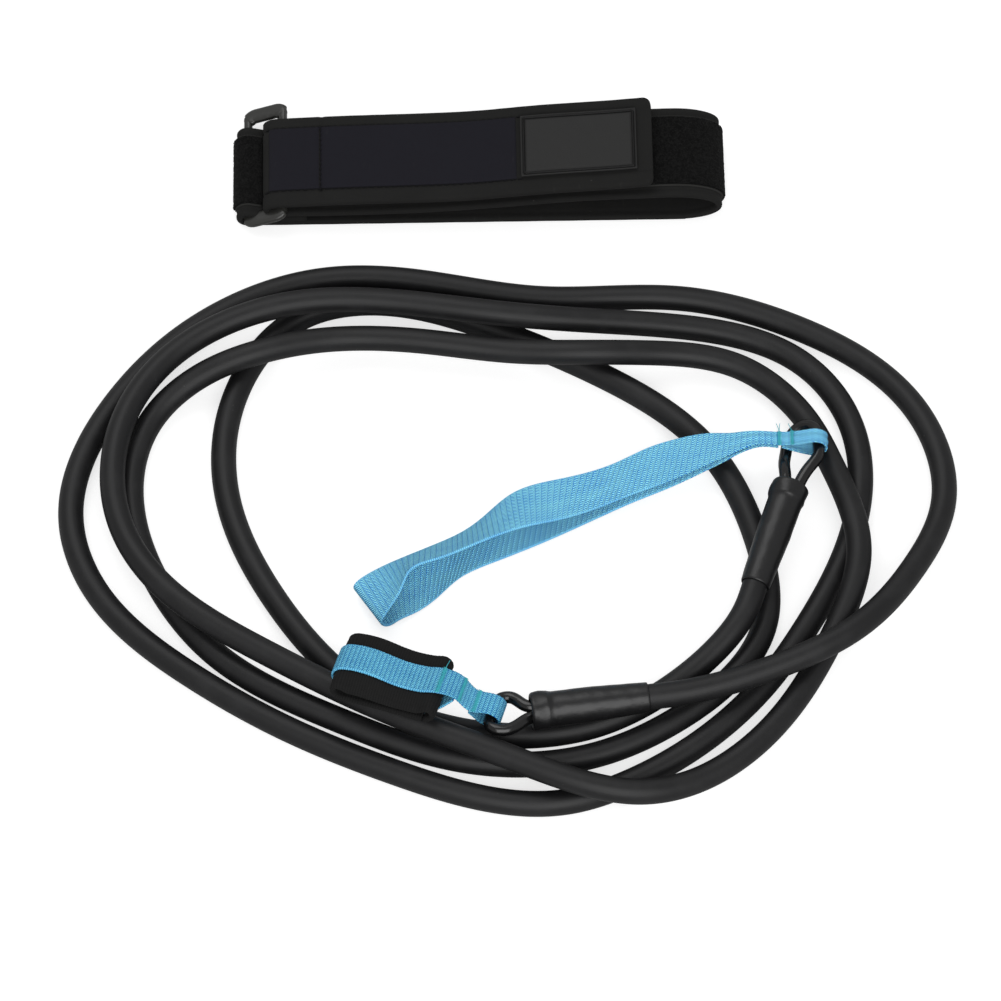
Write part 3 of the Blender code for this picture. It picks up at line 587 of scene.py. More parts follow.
class Recipe:
    """A material's nodes. Every node comes from its one node method."""

    def __init__(self, name: str) -> None:
        """Starts a material with a Principled shader.

        Args:
            name: The material's name.
        """
        self.material = bpy.data.materials.new(name)
        self.material.use_nodes = True
        self.tree = self.material.node_tree
        self.shader = self.tree.nodes["Principled BSDF"]

    def node(self, kind: str, settings: Settings = None, inputs: Inputs = None) -> bpy.types.Node:
        """A new node.

        Args:
            kind: The node's type.
            settings: Its own settings, which are set first.
            inputs: Values or links for its sockets, by name or number.

        Returns:
            The node.
        """
        made = self.tree.nodes.new(kind)
        for key, value in (settings or {}).items():
            setattr(made, key, value)
        for key, value in (inputs or {}).items():
            self.feed(made.inputs[key], value)
        return made

    def feed(self, socket: bpy.types.NodeSocket, value: object) -> None:
        """Links a value to a socket, or sets the socket to a number, vector or colour.

        Args:
            socket: The socket to fill.
            value: A Value or socket to link, or what the socket is set to.
        """
        if isinstance(value, Value):
            self.tree.links.new(value.socket, socket)
        elif hasattr(value, "__len__") and len(value) == 3 and socket.type == "RGBA":
            socket.default_value = (*value, 1.0)
        else:
            socket.default_value = value

    def value(
        self, kind: str, settings: Settings = None, inputs: Inputs = None, output: str | int = 0
    ) -> Value:
        """A new node's output as a value."""
        return Value(self, self.node(kind, settings, inputs).outputs[output])

    def surface(self) -> tuple[Value, Value]:
        """The distances along and across the piece's own surface, in metres.

        Returns:
            The two distances.
        """
        uv = self.value("ShaderNodeUVMap", {"uv_map": UV_NAME})
        parts = self.node("ShaderNodeSeparateXYZ", inputs={0: uv})
        return Value(self, parts.outputs["X"]), Value(self, parts.outputs["Y"])

    def place(self) -> Value:
        """The place on the object, in metres."""
        return self.value("ShaderNodeTexCoord", output="Object")

    def joined(self, x: Value | float, y: Value | float, z: Value | float = 0.0) -> Value:
        """A vector of three values."""
        return self.value("ShaderNodeCombineXYZ", inputs={0: x, 1: y, 2: z})

    def noise(self, at: Value, scale: float, detail: float = 2.0, roughness: float = 0.5) -> Value:
        """Smooth noise about 0.5, with scale waves in a metre."""
        inputs = {"Vector": at, "Scale": scale, "Detail": detail, "Roughness": roughness}
        return self.value("ShaderNodeTexNoise", inputs=inputs)

    def specks(self, at: Value, pitch: float, share: float) -> Value:
        """Small spots: 1 near the middle of a cell of the given pitch, in a share of the cells, else 0.

        Args:
            at: Where the pattern is read.
            pitch: The size of a cell.
            share: The share of the cells.

        Returns:
            The spots.
        """
        cells = self.node("ShaderNodeTexVoronoi", {"feature": "F1"}, {"Vector": at, "Scale": 1 / pitch})
        near = 1 - Value(self, cells.outputs["Distance"]).step(0.03, 0.08)
        tone = self.value("ShaderNodeSeparateColor", inputs={0: Value(self, cells.outputs["Color"])})
        return near * (1 - tone.above(share))

    def mixed(self, factor: Value | float, one: object, other: object) -> Value:
        """A colour between one and other by the factor."""
        made = self.node("ShaderNodeMix", {"data_type": "RGBA"}, {"Factor": factor, 6: one, 7: other})
        return Value(self, made.outputs[2])

    def bumped(self, height: Value, reach: float) -> Value:
        """A normal bent by a height from 0 to 1 that is worth a reach in metres."""
        return self.value("ShaderNodeBump", inputs={"Height": height, "Distance": reach, "Strength": 1.0})

    def finish(self, **sockets: object) -> bpy.types.Material:
        """Feeds the shader's sockets, named with underscores for spaces, and gives the material.

        Args:
            sockets: What each socket gets.

        Returns:
            The finished material.
        """
        for key, value in sockets.items():
            self.feed(self.shader.inputs[key.replace("_", " ")], value)
        return self.material


# Finishes


@dataclass(frozen=True)
class Finish:
    """What a piece is dressed in."""

    name: str

    def make(self) -> bpy.types.Material:
        """The material's nodes."""
        raise NotImplementedError


@dataclass(frozen=True)
class TubeRubber(Finish):
    """Extruded rubber: satin, with fine draw lines along it, a dusty bloom and a few pale specks."""

    colour: Colour = (0.0070, 0.0070, 0.0075)
    bloom: Colour = (0.0135, 0.0135, 0.0142)
    roughness: float = 0.47

    def make(self) -> bpy.types.Material:
        """Draw lines are noise stretched along the tube; the bloom is broad noise; specks are rare spots.

        Returns:
            The material.
        """
        recipe = Recipe(self.name)
        along, around = recipe.surface()
        place = recipe.place()
        lines = recipe.noise(recipe.joined(along * 14, around * 1600), 1.0, 3.0)
        bloom = recipe.noise(place, 60.0, 4.0, 0.6).step(0.42, 0.75)
        specks = recipe.specks(place, 0.0035, 0.05)
        colour = recipe.mixed(bloom * 0.7, self.colour, self.bloom)
        colour = recipe.mixed(specks * 0.6, colour, (0.09, 0.09, 0.09))
        rough = self.roughness + (lines - 0.5) * 0.12 + bloom * 0.07
        grain = recipe.noise(place, 1500.0, 2.0)
        normal = recipe.bumped(lines * 0.6 + grain * 0.4, 0.00006)
        return recipe.finish(Base_Color=colour, Roughness=rough, Normal=normal, Specular_IOR_Level=0.30)


@dataclass(frozen=True)
class MouldedRubber(Finish):
    """Moulded rubber: satin with a fine grain, slight ripples and pale rubbed spots."""

    colour: Colour = (0.0060, 0.0060, 0.0064)
    roughness: float = 0.35
    gloss: float = 0.42

    def make(self) -> bpy.types.Material:
        """Ripples are broad noise and the grain is fine noise, both in the height.

        Returns:
            The material.
        """
        recipe = Recipe(self.name)
        place = recipe.place()
        ripple = recipe.noise(place, 130.0, 2.0)
        grain = recipe.noise(place, 1900.0, 2.0)
        rubbed = recipe.noise(place, 320.0, 4.0, 0.7).step(0.58, 0.80)
        colour = recipe.mixed(rubbed * 0.4, self.colour, (0.030, 0.030, 0.030))
        normal = recipe.bumped(ripple * 0.85 + grain * 0.15, 0.00042)
        return recipe.finish(
            Base_Color=colour, Roughness=self.roughness + rubbed * 0.16, Normal=normal,
            Specular_IOR_Level=self.gloss,
        )


@dataclass(frozen=True)
class CoatedCord(Finish):
    """A glossy coated cord: nearly black, with slight lengthwise dents."""

    colour: Colour = (0.0030, 0.0030, 0.0033)
    roughness: float = 0.13

    def make(self) -> bpy.types.Material:
        """The dents are noise drawn out along the cord, and smears change the gloss.

        Returns:
            The material.
        """
        recipe = Recipe(self.name)
        along, around = recipe.surface()
        dents = recipe.noise(recipe.joined(along * 90, around * 420), 1.0, 2.0)
        smears = recipe.noise(recipe.place(), 500.0, 3.0)
        normal = recipe.bumped(dents, 0.00022)
        colour = recipe.mixed(smears * 0.3, self.colour, (0.010, 0.010, 0.010))
        return recipe.finish(Base_Color=colour, Roughness=self.roughness + smears * 0.12, Normal=normal)


@dataclass(frozen=True)
class Plastic(Finish):
    """Satin moulded plastic with a fine spark-eroded grain."""

    colour: Colour = (0.016, 0.016, 0.016)
    roughness: float = 0.38

    def make(self) -> bpy.types.Material:
        """The grain is fine noise in the height, and scuffs lighten it.

        Returns:
            The material.
        """
        recipe = Recipe(self.name)
        place = recipe.place()
        grain = recipe.noise(place, 2600.0, 2.0)
        scuffs = recipe.noise(place, 260.0, 5.0, 0.7).step(0.55, 0.78)
        colour = recipe.mixed(scuffs * 0.45, self.colour, (0.060, 0.060, 0.056))
        normal = recipe.bumped(grain, 0.00004)
        return recipe.finish(Base_Color=colour, Roughness=self.roughness + scuffs * 0.2, Normal=normal)


@dataclass(frozen=True)
class RibbedWebbing(Finish):
    """Woven webbing in broad crosswise ribs: rows of slanting floats, a narrower row that leans the other way
    beside each, a furrow between ribs, and a dense edge. The colour holds painted shade: it darkens where
    the weave is low, between floats and in the furrows, and is lightest on the float tops."""

    # light is the lit colour of the float tops; dark is the painted shade of the weave's hollows and furrows
    light: Colour = (0.345, 0.910, 1.000)
    dark: Colour = (0.002, 0.165, 0.690)
    pale: Colour = (0.330, 0.780, 1.000)
    rib: float = 0.0030
    float_pitch: float = 0.00100
    slant: float = 0.0011
    half_width: float = 0.0125
    pale_share: float = 0.05
    broad_share: float = 0.60
    furrow_share: float = 0.08

    def make(self) -> bpy.types.Material:
        """A float is one wave across the width, shifted to and fro along each rib so that the rows zigzag.

        Returns:
            The material.
        """
        recipe = Recipe(self.name)
        along, across = recipe.surface()
        inside = along.modulo(self.rib) * (1 / self.rib)
        row = (along * (1 / self.rib)).floor()
        zigzag = (inside * (1 / self.broad_share)).smaller((1 - inside) * (1 / (1 - self.broad_share)))
        jitter = (recipe.noise(recipe.joined(row * 0.37, across * 260), 1.0, 1.0) - 0.5) * 0.00035
        floats = (across + zigzag * self.slant + jitter).wave(self.float_pitch) ** 0.8
        narrow = inside.step(self.broad_share - 0.04, self.broad_share + 0.04)
        furrow = (0.5 - abs(inside - 0.5)).step(0.0, self.furrow_share)
        height = (1 - (1 - floats) * (0.95 - narrow * 0.15)) * (furrow * 0.6 + 0.4)
        edge = abs(across).step(self.half_width - 0.0012, self.half_width - 0.0004)
        height = height * (1 - edge) + edge * (along.wave(0.0011) * 0.50 + 0.26)
        tone = recipe.noise(recipe.joined(along * 60, across * 160), 1.0, 3.0)
        # Painted shade: the weave's height picks the colour, from the shade colour in the hollows to the lit
        # colour on the floats, with random tone added
        weave_shade_and_tone = (height - 0.12) * 1.25 + (tone - 0.5) * 0.5
        colour = recipe.mixed(weave_shade_and_tone.clamped(), self.dark, self.light)
        colour = recipe.mixed(edge * self.pale_share, colour, self.pale)
        normal = recipe.bumped(height, 0.00050)
        return recipe.finish(
            Base_Color=colour, Roughness=0.78 - height * 0.12, Normal=normal, Specular_IOR_Level=0.12
        )


@dataclass(frozen=True)
class TwistedThread(Finish):
    """Twisted sewing thread."""

    colour: Colour = (0.020, 0.300, 0.380)
    light: Colour = (0.080, 0.480, 0.540)

    def make(self) -> bpy.types.Material:
        """The twist is a wave that runs aslant round the thread.

        Returns:
            The material.
        """
        recipe = Recipe(self.name)
        along, around = recipe.surface()
        twist = (along + around * 0.8).wave(0.00042)
        tone = recipe.noise(recipe.place(), 900.0, 2.0)
        # Painted shade: the twist's ridges pick the colour, darker in the grooves between the plies, with
        # random tone
        colour = recipe.mixed((twist * 0.6 + tone * 0.5).clamped(), self.colour, self.light)
        return recipe.finish(
            Base_Color=colour, Roughness=0.72 - twist * 0.1, Normal=recipe.bumped(twist, 0.00006),
            Specular_IOR_Level=0.15,
        )


@dataclass(frozen=True)
class KnitCloth(Finish):
    """A smooth laminated knit: fine loops in rows, with a little lint."""

    colour: Colour = (0.0082, 0.0082, 0.0079)
    light: Colour = (0.0132, 0.0132, 0.0126)
    pitch: float = 0.00050
    lint: float = 0.06

    def make(self) -> bpy.types.Material:
        """Loops are waves along times waves across, shifted half a pitch from row to row.

        Returns:
            The material.
        """
        recipe = Recipe(self.name)
        along, across = recipe.surface()
        row = (across * (1 / self.pitch)).floor()
        shifted = along + row.modulo(2.0) * (self.pitch / 2)
        loops = shifted.wave(self.pitch) * across.wave(self.pitch)
        place = recipe.place()
        broad = recipe.noise(place, 45.0, 4.0, 0.6)
        specks = recipe.specks(place, 0.0042, self.lint)
        fibres = recipe.noise(recipe.joined(along * 420, across * 90), 1.0, 3.0).step(0.66, 0.80)
        # Random broad tone, plus painted shade that darkens the colour between the knit loops
        colour = recipe.mixed((broad * 0.9 + loops * 0.35 - 0.25).clamped(), self.colour, self.light)
        colour = recipe.mixed(specks * 0.55 + fibres * 0.05, colour, (0.11, 0.11, 0.105))
        normal = recipe.bumped(loops * 0.7 + broad * 0.3, 0.00012)
        return recipe.finish(
            Base_Color=colour, Roughness=0.80 + broad * 0.08, Normal=normal, Specular_IOR_Level=0.16,
            Sheen_Weight=0.01,
        )


@dataclass(frozen=True)
class LoopPile(Finish):
    """Fuzzy pile of fine loops: uneven, with painted shade that makes it nearly black in its depths and
    painted highlight that makes its tips paler.
    """

    # deep is the painted shade of the pile's depths; tips is the painted highlight on the loop tips
    deep: Colour = (0.0014, 0.0014, 0.0014)
    tips: Colour = (0.0105, 0.0105, 0.0102)
    pitch: float = 0.0008

    def make(self) -> bpy.types.Material:
        """Tips are where fine cells and finer noise both stand high.

        Returns:
            The material.
        """
        recipe = Recipe(self.name)
        place = recipe.place()
        inputs = {"Vector": place, "Scale": 1 / self.pitch}
        cells = recipe.value("ShaderNodeTexVoronoi", {"feature": "F1"}, inputs)
        fuzz = recipe.noise(place, 2400.0, 4.0, 0.7)
        tufts = recipe.noise(place, 420.0, 3.0, 0.6)
        height = ((1 - cells) * 0.4 + fuzz * 0.5 + tufts * 0.5 - 0.2).clamped()
        specks = recipe.specks(place, 0.0022, 0.16)
        # Painted shade and highlight: the pile's height picks the colour, dark deep down and pale on the tips
        colour = recipe.mixed(height.step(0.35, 0.80), self.deep, self.tips)
        colour = recipe.mixed(specks * 0.35, colour, (0.07, 0.07, 0.07))
        return recipe.finish(
            Base_Color=colour, Roughness=0.95, Normal=recipe.bumped(height, 0.0006), Specular_IOR_Level=0.10,
            Sheen_Weight=0.02,
        )


@dataclass(frozen=True)
class PadFoam(Finish):
    """Foam faced with a fine stretch fabric: small ribs across, nearly black."""

    colour: Colour = (0.0022, 0.0022, 0.0023)
    light: Colour = (0.0085, 0.0085, 0.0083)

    def make(self) -> bpy.types.Material:
        """Ribs are waves along the loop and across it, broken up by noise.

        Returns:
            The material.
        """
        recipe = Recipe(self.name)
        along, across = recipe.surface()
        ribs = along.wave(0.0013) * 0.7 + across.wave(0.0007) * 0.3
        tone = recipe.noise(recipe.place(), 260.0, 4.0, 0.6)
        height = ribs * 0.6 + tone * 0.4
        # Painted shade: the ribs' height picks the colour, darker in the hollows between ribs, with random
        # tone
        colour = recipe.mixed(height, self.colour, self.light)
        return recipe.finish(
            Base_Color=colour, Roughness=0.86, Normal=recipe.bumped(height, 0.00020), Specular_IOR_Level=0.20,
            Sheen_Weight=0.01,
        )


class Look(Enum):
    """The finishes of the tether."""

    TUBE = TubeRubber("elastic tube rubber")
    SLEEVE = MouldedRubber("moulded sleeve rubber")
    CORD = CoatedCord("glossy loop cord")
    PLUG = Plastic("plug plastic", (0.045, 0.045, 0.048))
    RING = Plastic("ring plastic", (0.024, 0.024, 0.022), 0.30)
    STRAP = RibbedWebbing("wide blue webbing")
    CUFF_WEBBING = RibbedWebbing(
        "narrow blue webbing", (0.230, 0.740, 0.930), (0.002, 0.110, 0.400), (0.250, 0.620, 0.820), 0.0022,
        0.00100, 0.0008, 0.0080, 0.02, 0.55, 0.20,
    )
    THREAD = TwistedThread("teal thread")
    DARK_THREAD = TwistedThread("dark thread", (0.0010, 0.0010, 0.0014), (0.0040, 0.0040, 0.0050))
    BELT = KnitCloth("belt knit")
    LINING = KnitCloth("navy lining knit", (0.0070, 0.0067, 0.0106), (0.0094, 0.0090, 0.0138), 0.00042, 0.05)
    PIPING = KnitCloth("edge binding", (0.0170, 0.0170, 0.0160), (0.0360, 0.0360, 0.0340), 0.00060, 0.03)
    PILE = LoopPile("loop pile")
    HOOK = LoopPile("hook tape", (0.003, 0.003, 0.003), (0.013, 0.013, 0.013), 0.0012)
    BADGE = MouldedRubber("badge rubber", (0.0142, 0.0142, 0.0140), 0.60, 0.22)
    BADGE_RIM = MouldedRubber("badge rim rubber", (0.0012, 0.0012, 0.0012), 0.50, 0.20)
    PAD = PadFoam("cuff pad fabric")

    def material(self) -> bpy.types.Material:
        """The finish's material, made once and then shared."""
        return bpy.data.materials.get(self.value.name) or self.value.make()


# Elastic tube and its fittings


@dataclass
class EndFitting:
    """A moulded sleeve over the tube's end, with a plug inside it that holds a loop of cord."""

    name: str
    lip: Place
    turn: float
    pitch: float
    bow: tuple[tuple[float, float, float], ...]
    body: str = "tether"
    length: float = 0.058
    mouth_radius: float = 0.00725
    body_radius: float = 0.0087
    lip_radius: float = 0.0094
    lip_length: float = 0.0095
    round_over: float = 0.0012
    taper: float = 0.026
    tube_depth: float = 0.030
    plug_radius: float = 0.0076
    cord_diameter: float = 0.006
    cord_spacing: float = 0.0073
    cord_foot: float = 0.0346
    cord_lead: float = 0.002
    leg_share: float = 0.75
    tube_radius: float = 0.0067
    hair: float = 0.0001
    blend: float = 0.004
    bore_run: float = 0.006
    mould_seam: float = 4.3
    sides: int = 72
    step: float = 0.0006
    cord_sides: int = 24
    cord_step: float = 0.0008

    @property
    def way(self) -> Array:
        """The direction from the mouth to the lip."""
        return heading(self.turn, self.pitch)

    @property
    def mouth(self) -> Array:
        """The middle of the end where the tube goes in."""
        return np.array(self.lip) - self.length * self.way

    def along(self, distance: float, aside: float = 0.0) -> Array:
        """The place at a distance from the mouth, and to its right."""
        return self.mouth + self.way * distance + right_of(self.turn) * aside

    def section(self) -> Array:
        """The sleeve's section as rows of (radius, height): up the plug's seat, over the lip, to the bore.

        Returns:
            One row for each corner of the section.
        """
        top, over, hair = self.length, self.round_over, self.hair
        plug, lip, body, mouth = self.plug_radius, self.lip_radius, self.body_radius, self.mouth_radius
        shoulder = top - self.lip_length
        return np.array((
            (plug, shoulder - self.blend), (plug, top - 6 * hair), (plug + 5 * hair, top - hair),
            (lip - over, top), (lip - over * 0.35, top - over * 0.25), (lip, top - over),
            (lip + hair, top - self.lip_length / 2), (lip, shoulder + over),
            (body + 3 * hair, shoulder + over * 0.2), (body, shoulder - over),
            (body - hair / 2, (self.taper + shoulder) / 2), (body, self.taper + self.blend),
            (body - 2 * hair, self.taper - 10 * hair), (mouth + 3 * hair, self.blend),
            (mouth + hair, 6 * hair), (mouth - 2 * hair, 0.0), (self.tube_radius, 0.0),
            (self.tube_radius, self.bore_run),
        ))

    def sleeve(self) -> None:
        """The sleeve: a turned section with a mould seam, and low waves that are strongest at the lip."""
        profile = evenly(self.section(), self.step)
        angle = np.linspace(0.0, 2 * pi, self.sides, endpoint=False)[None]
        height = profile[:, 1:2]
        lumps = 0.010 * np.sin(3 * angle + 700 * height) + 0.007 * np.sin(5 * angle - 400 * height + 1)
        on_lip = np.clip((height - self.length + self.lip_length) / 0.002, 0.0, 1.0)
        seam = 0.012 * hump((angle - self.mould_seam + pi) % (2 * pi), pi, 0.05)
        form = turned_form(profile, self.mouth, self.way, lumps * (0.35 + 1.3 * on_lip) + seam)
        node = f"{self.name}_sleeve"
        form.piece(f"{node}_moulding", Look.SLEEVE, "sleeve_rubber", self.body, node)

    def cord(self) -> None:
        """The cord loop: out of the plug, round the bow and back in."""
        out = self.length + self.cord_lead
        side = self.cord_spacing / 2
        runs = (self.cord_foot, out * self.leg_share, out)
        knots = [self.along(run, side) for run in runs] + list(rows(self.bow))
        knots += [self.along(run, -side) for run in runs[::-1]]
        path = evenly(natural_spline(np.array(knots), SMOOTH_COUNT), self.cord_step)
        form = round_bar(path, self.cord_diameter / 2, self.cord_sides)
        item = form.piece(f"{self.name}_loop_cord", Look.CORD, "loop_cord", self.body, f"{self.name}_cord")
        world = path - LAYOUT_MIDDLE
        evenly(world, 4 * self.cord_step).tolist()

    def build(self) -> None:
        """The sleeve and cord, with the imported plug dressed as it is."""
        self.sleeve()
        self.cord()
        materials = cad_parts[f"{self.name}_plug"].data.materials
        materials.clear()
        materials.append(Look.PLUG.material())


ANCHOR_FITTING = EndFitting(
    "anchor", (0.14413, -0.00503, 0.02405), radians(70.9), radians(4.0),
    (
        (153.6, 4.8, 25.0), (158.1, 12.2, 24.7), (158.3, 19.5, 24.5), (157.6, 26.8, 23.8),
        (153.6, 31.1, 21.6), (148.2, 30.4, 18.8), (144.2, 25.4, 16.6), (142.4, 17.8, 17.0),
        (141.2, 7.4, 21.4),
    ),
)
CUFF_FITTING = EndFitting(
    "cuff", (0.01476, -0.13147, 0.0225), radians(188.0), 0.0,
    (
        (9.0, -125.6, 21.8), (4.7, -122.6, 20.6), (-0.6, -124.0, 21.0), (-3.2, -130.8, 22.4),
        (-5.4, -137.9, 23.0), (-3.2, -141.7, 24.4), (1.4, -142.6, 24.4), (8.5, -139.2, 23.4),
    ),
)


@dataclass
class ElasticTube:
    """The long rubber tube, from inside the cuff's fitting round four and a half loops into the anchor's."""

    anchor: EndFitting
    cuff: EndFitting
    diameter: float = 0.0127
    lead: float = 0.0127
    step: float = 0.0023
    sides: int = 36
    # The route's middle line between the two leads, in millimetres
    route: tuple[tuple[float, float, float], ...] = (
        (129, -109, 23.0), (174, -85, 23.0), (205, -45, 14.0), (221, -4, 8.5), (208, 50, 7.5),
        (151, 97, 6.5), (90, 115, 6.5), (20, 115, 6.5), (-42, 125, 6.5), (-90, 126, 6.5), (-163, 90, 6.5),
        (-191, 57, 6.5), (-214, -12, 6.5), (-199, -57, 6.5), (-154, -101, 6.5), (-101, -134, 6.5),
        (-52, -156, 6.5), (34, -172, 6.5), (60, -163, 6.5), (131, -106, 6.5), (150, -77, 6.5), (179, -3, 6.5),
        (174, 46, 6.5), (149, 79, 6.5), (86, 97, 9.0), (47, 97, 14.0), (0, 97, 21.0), (-58, 105, 20.0),
        (-108, 102, 21.5), (-162, 77, 18.5), (-189, 34, 19.5), (-189, -22, 19.5), (-163, -64, 21.5),
        (-114, -97, 18.5), (-71, -121, 18.5), (-37, -138, 20.5), (5, -156, 21.5), (69, -173, 18.5),
        (99, -162, 12.5), (125, -142, 11.0), (162, -86, 11.0), (177, -39, 20.5), (173, -13, 19.5),
        (165, 14, 13.0), (153, 43, 8.0), (120, 72, 10.5), (76, 77, 15.5), (48, 74, 21.0), (5, 77, 17.5),
        (-40, 83, 17.0), (-86, 84, 17.0), (-124, 73, 21.5), (-150, 64, 15.5), (-174, 44, 8.0),
        (-184, 14, 6.5), (-168, -54, 6.5), (-140, -91, 6.5), (-78, -128, 6.5), (-21, -149, 6.5),
        (42, -148, 6.5), (85, -128, 6.5), (130, -75, 6.5), (127, -25, 6.5), (100, 31, 6.5), (53, 68, 6.5),
        (-1, 95, 6.5), (-61, 112, 6.5), (-98, 105, 6.5), (-135, 52, 6.5), (-134, -11, 6.5),
        (-114, -56, 6.5), (-53, -121, 6.5), (-25, -132, 6.5), (50, -129, 6.5), (80, -113, 8.5),
        (105, -93, 13.5),
    )

    def line(self) -> Array:
        """The middle line: a spline through both straight leads and the route, never lower than the floor.

        Returns:
            The places along it.
        """
        deep = self.cuff.tube_depth
        leads = (deep, deep / 2, 0.0, -self.lead)
        start = [self.cuff.along(run) for run in leads]
        end = [self.anchor.along(run) for run in leads[::-1]]
        line = natural_spline(np.concatenate([start, rows(self.route), end]), SMOOTH_COUNT)
        line[:, 2] = np.maximum(line[:, 2], self.diameter / 2)
        return line

    def build(self) -> None:
        """The tube's round surface, along its whole length."""
        line = self.line()
        form = round_bar(evenly(line, self.step), self.diameter / 2, self.sides)
        item = form.piece("stretch_tube", Look.TUBE, "tube_rubber", "tether", "elastic_tube")
        world = evenly(line, 3 * self.step) - LAYOUT_MIDDLE


# Webbing


def eye_rows(
    eye: Array, along: Array, across: Array, width: float, radius: float, opening: float
) -> list[tuple[float, ...]]:
    """Stations round a cord: eye + radius times (cos a of along + sin a of up), from above the neck to below.

    Args:
        eye: The cord's middle.
        along: The direction from the neck to the eye.
        across: The direction of the webbing's width.
        width: That width.
        radius: How far the webbing's middle lies from the cord's.
        opening: How many quarter turns the webbing runs round from the far side each way.

    Returns:
        Rows for a track.
    """
    up = np.cross(across, along)
    up *= np.sign(up[2])
    angles = np.linspace(opening, -opening, 11) * QUARTER_TURN
    places = eye + radius * (np.cos(angles)[:, None] * along + np.sin(angles)[:, None] * up)
    return [(*place, *across, width) for place in places]


@dataclass
class BarTack:
    """A dense row of thread sewn through webbing: short stitches side by side, each leaning in turn."""

    name: str
    body: str
    length: float = 0.0024
    pitch: float = 0.00046
    thread: float = 0.00050
    rise: float = 0.00030
    reach_share: float = 0.97
    lean: float = 0.22
    lean_spread: float = 0.05
    stray: float = 0.00012
    end_radius: float = 0.00016
    end_length: float = 0.0042
    end_bend: float = 0.0016
    end_foot: float = 0.0002

    def sew(self, track: Track, share: float, half: float, whiskers: int = 0) -> None:
        """Sews the bar across the outer face of a webbing track.

        Args:
            track: The webbing.
            share: Where along it.
            half: Half the webbing's thickness.
            whiskers: How many loose thread ends stand up at its far end.
        """
        index = int(np.searchsorted(run_along(track.table), share * track.length))
        columns = (track.middles, track.along, track.across, track.face)
        middle, along, across, face = (column[index] for column in columns)
        width = track.widths[index] * self.reach_share
        count = int(width / self.pitch)
        aside = np.linspace(-width / 2, width / 2, count)
        lean = np.where(np.arange(count) % 2 == 0, self.lean, -self.lean)
        rng = np.random.default_rng(SEED)
        way = unit(along[None] + (lean + rng.normal(0.0, self.lean_spread, count))[:, None] * across[None])
        foot = middle + face * half + aside[:, None] * across
        foot = foot + along * rng.normal(0.0, self.stray, count)[:, None]
        forms = [stitch_row(foot, way, np.cross(face[None], way), face, self.length, self.thread, self.rise)]
        for number in range(whiskers):
            start = foot[-1] + face * self.end_foot
            swing = rng.normal(0.0, 0.5)
            away = unit(across * 0.9 + along * swing + face * (0.6 + 0.3 * number))
            bend = start + away * self.end_bend + face * self.end_bend / 2
            knots = np.stack([start, bend, start + away * self.end_length])
            forms.append(round_bar(evenly(natural_spline(knots, 60), 0.0003), self.end_radius, STITCH_SIDES))
        Form.joined(forms).piece(f"{self.name}_stitches", Look.THREAD, "teal_thread", self.body, self.name)


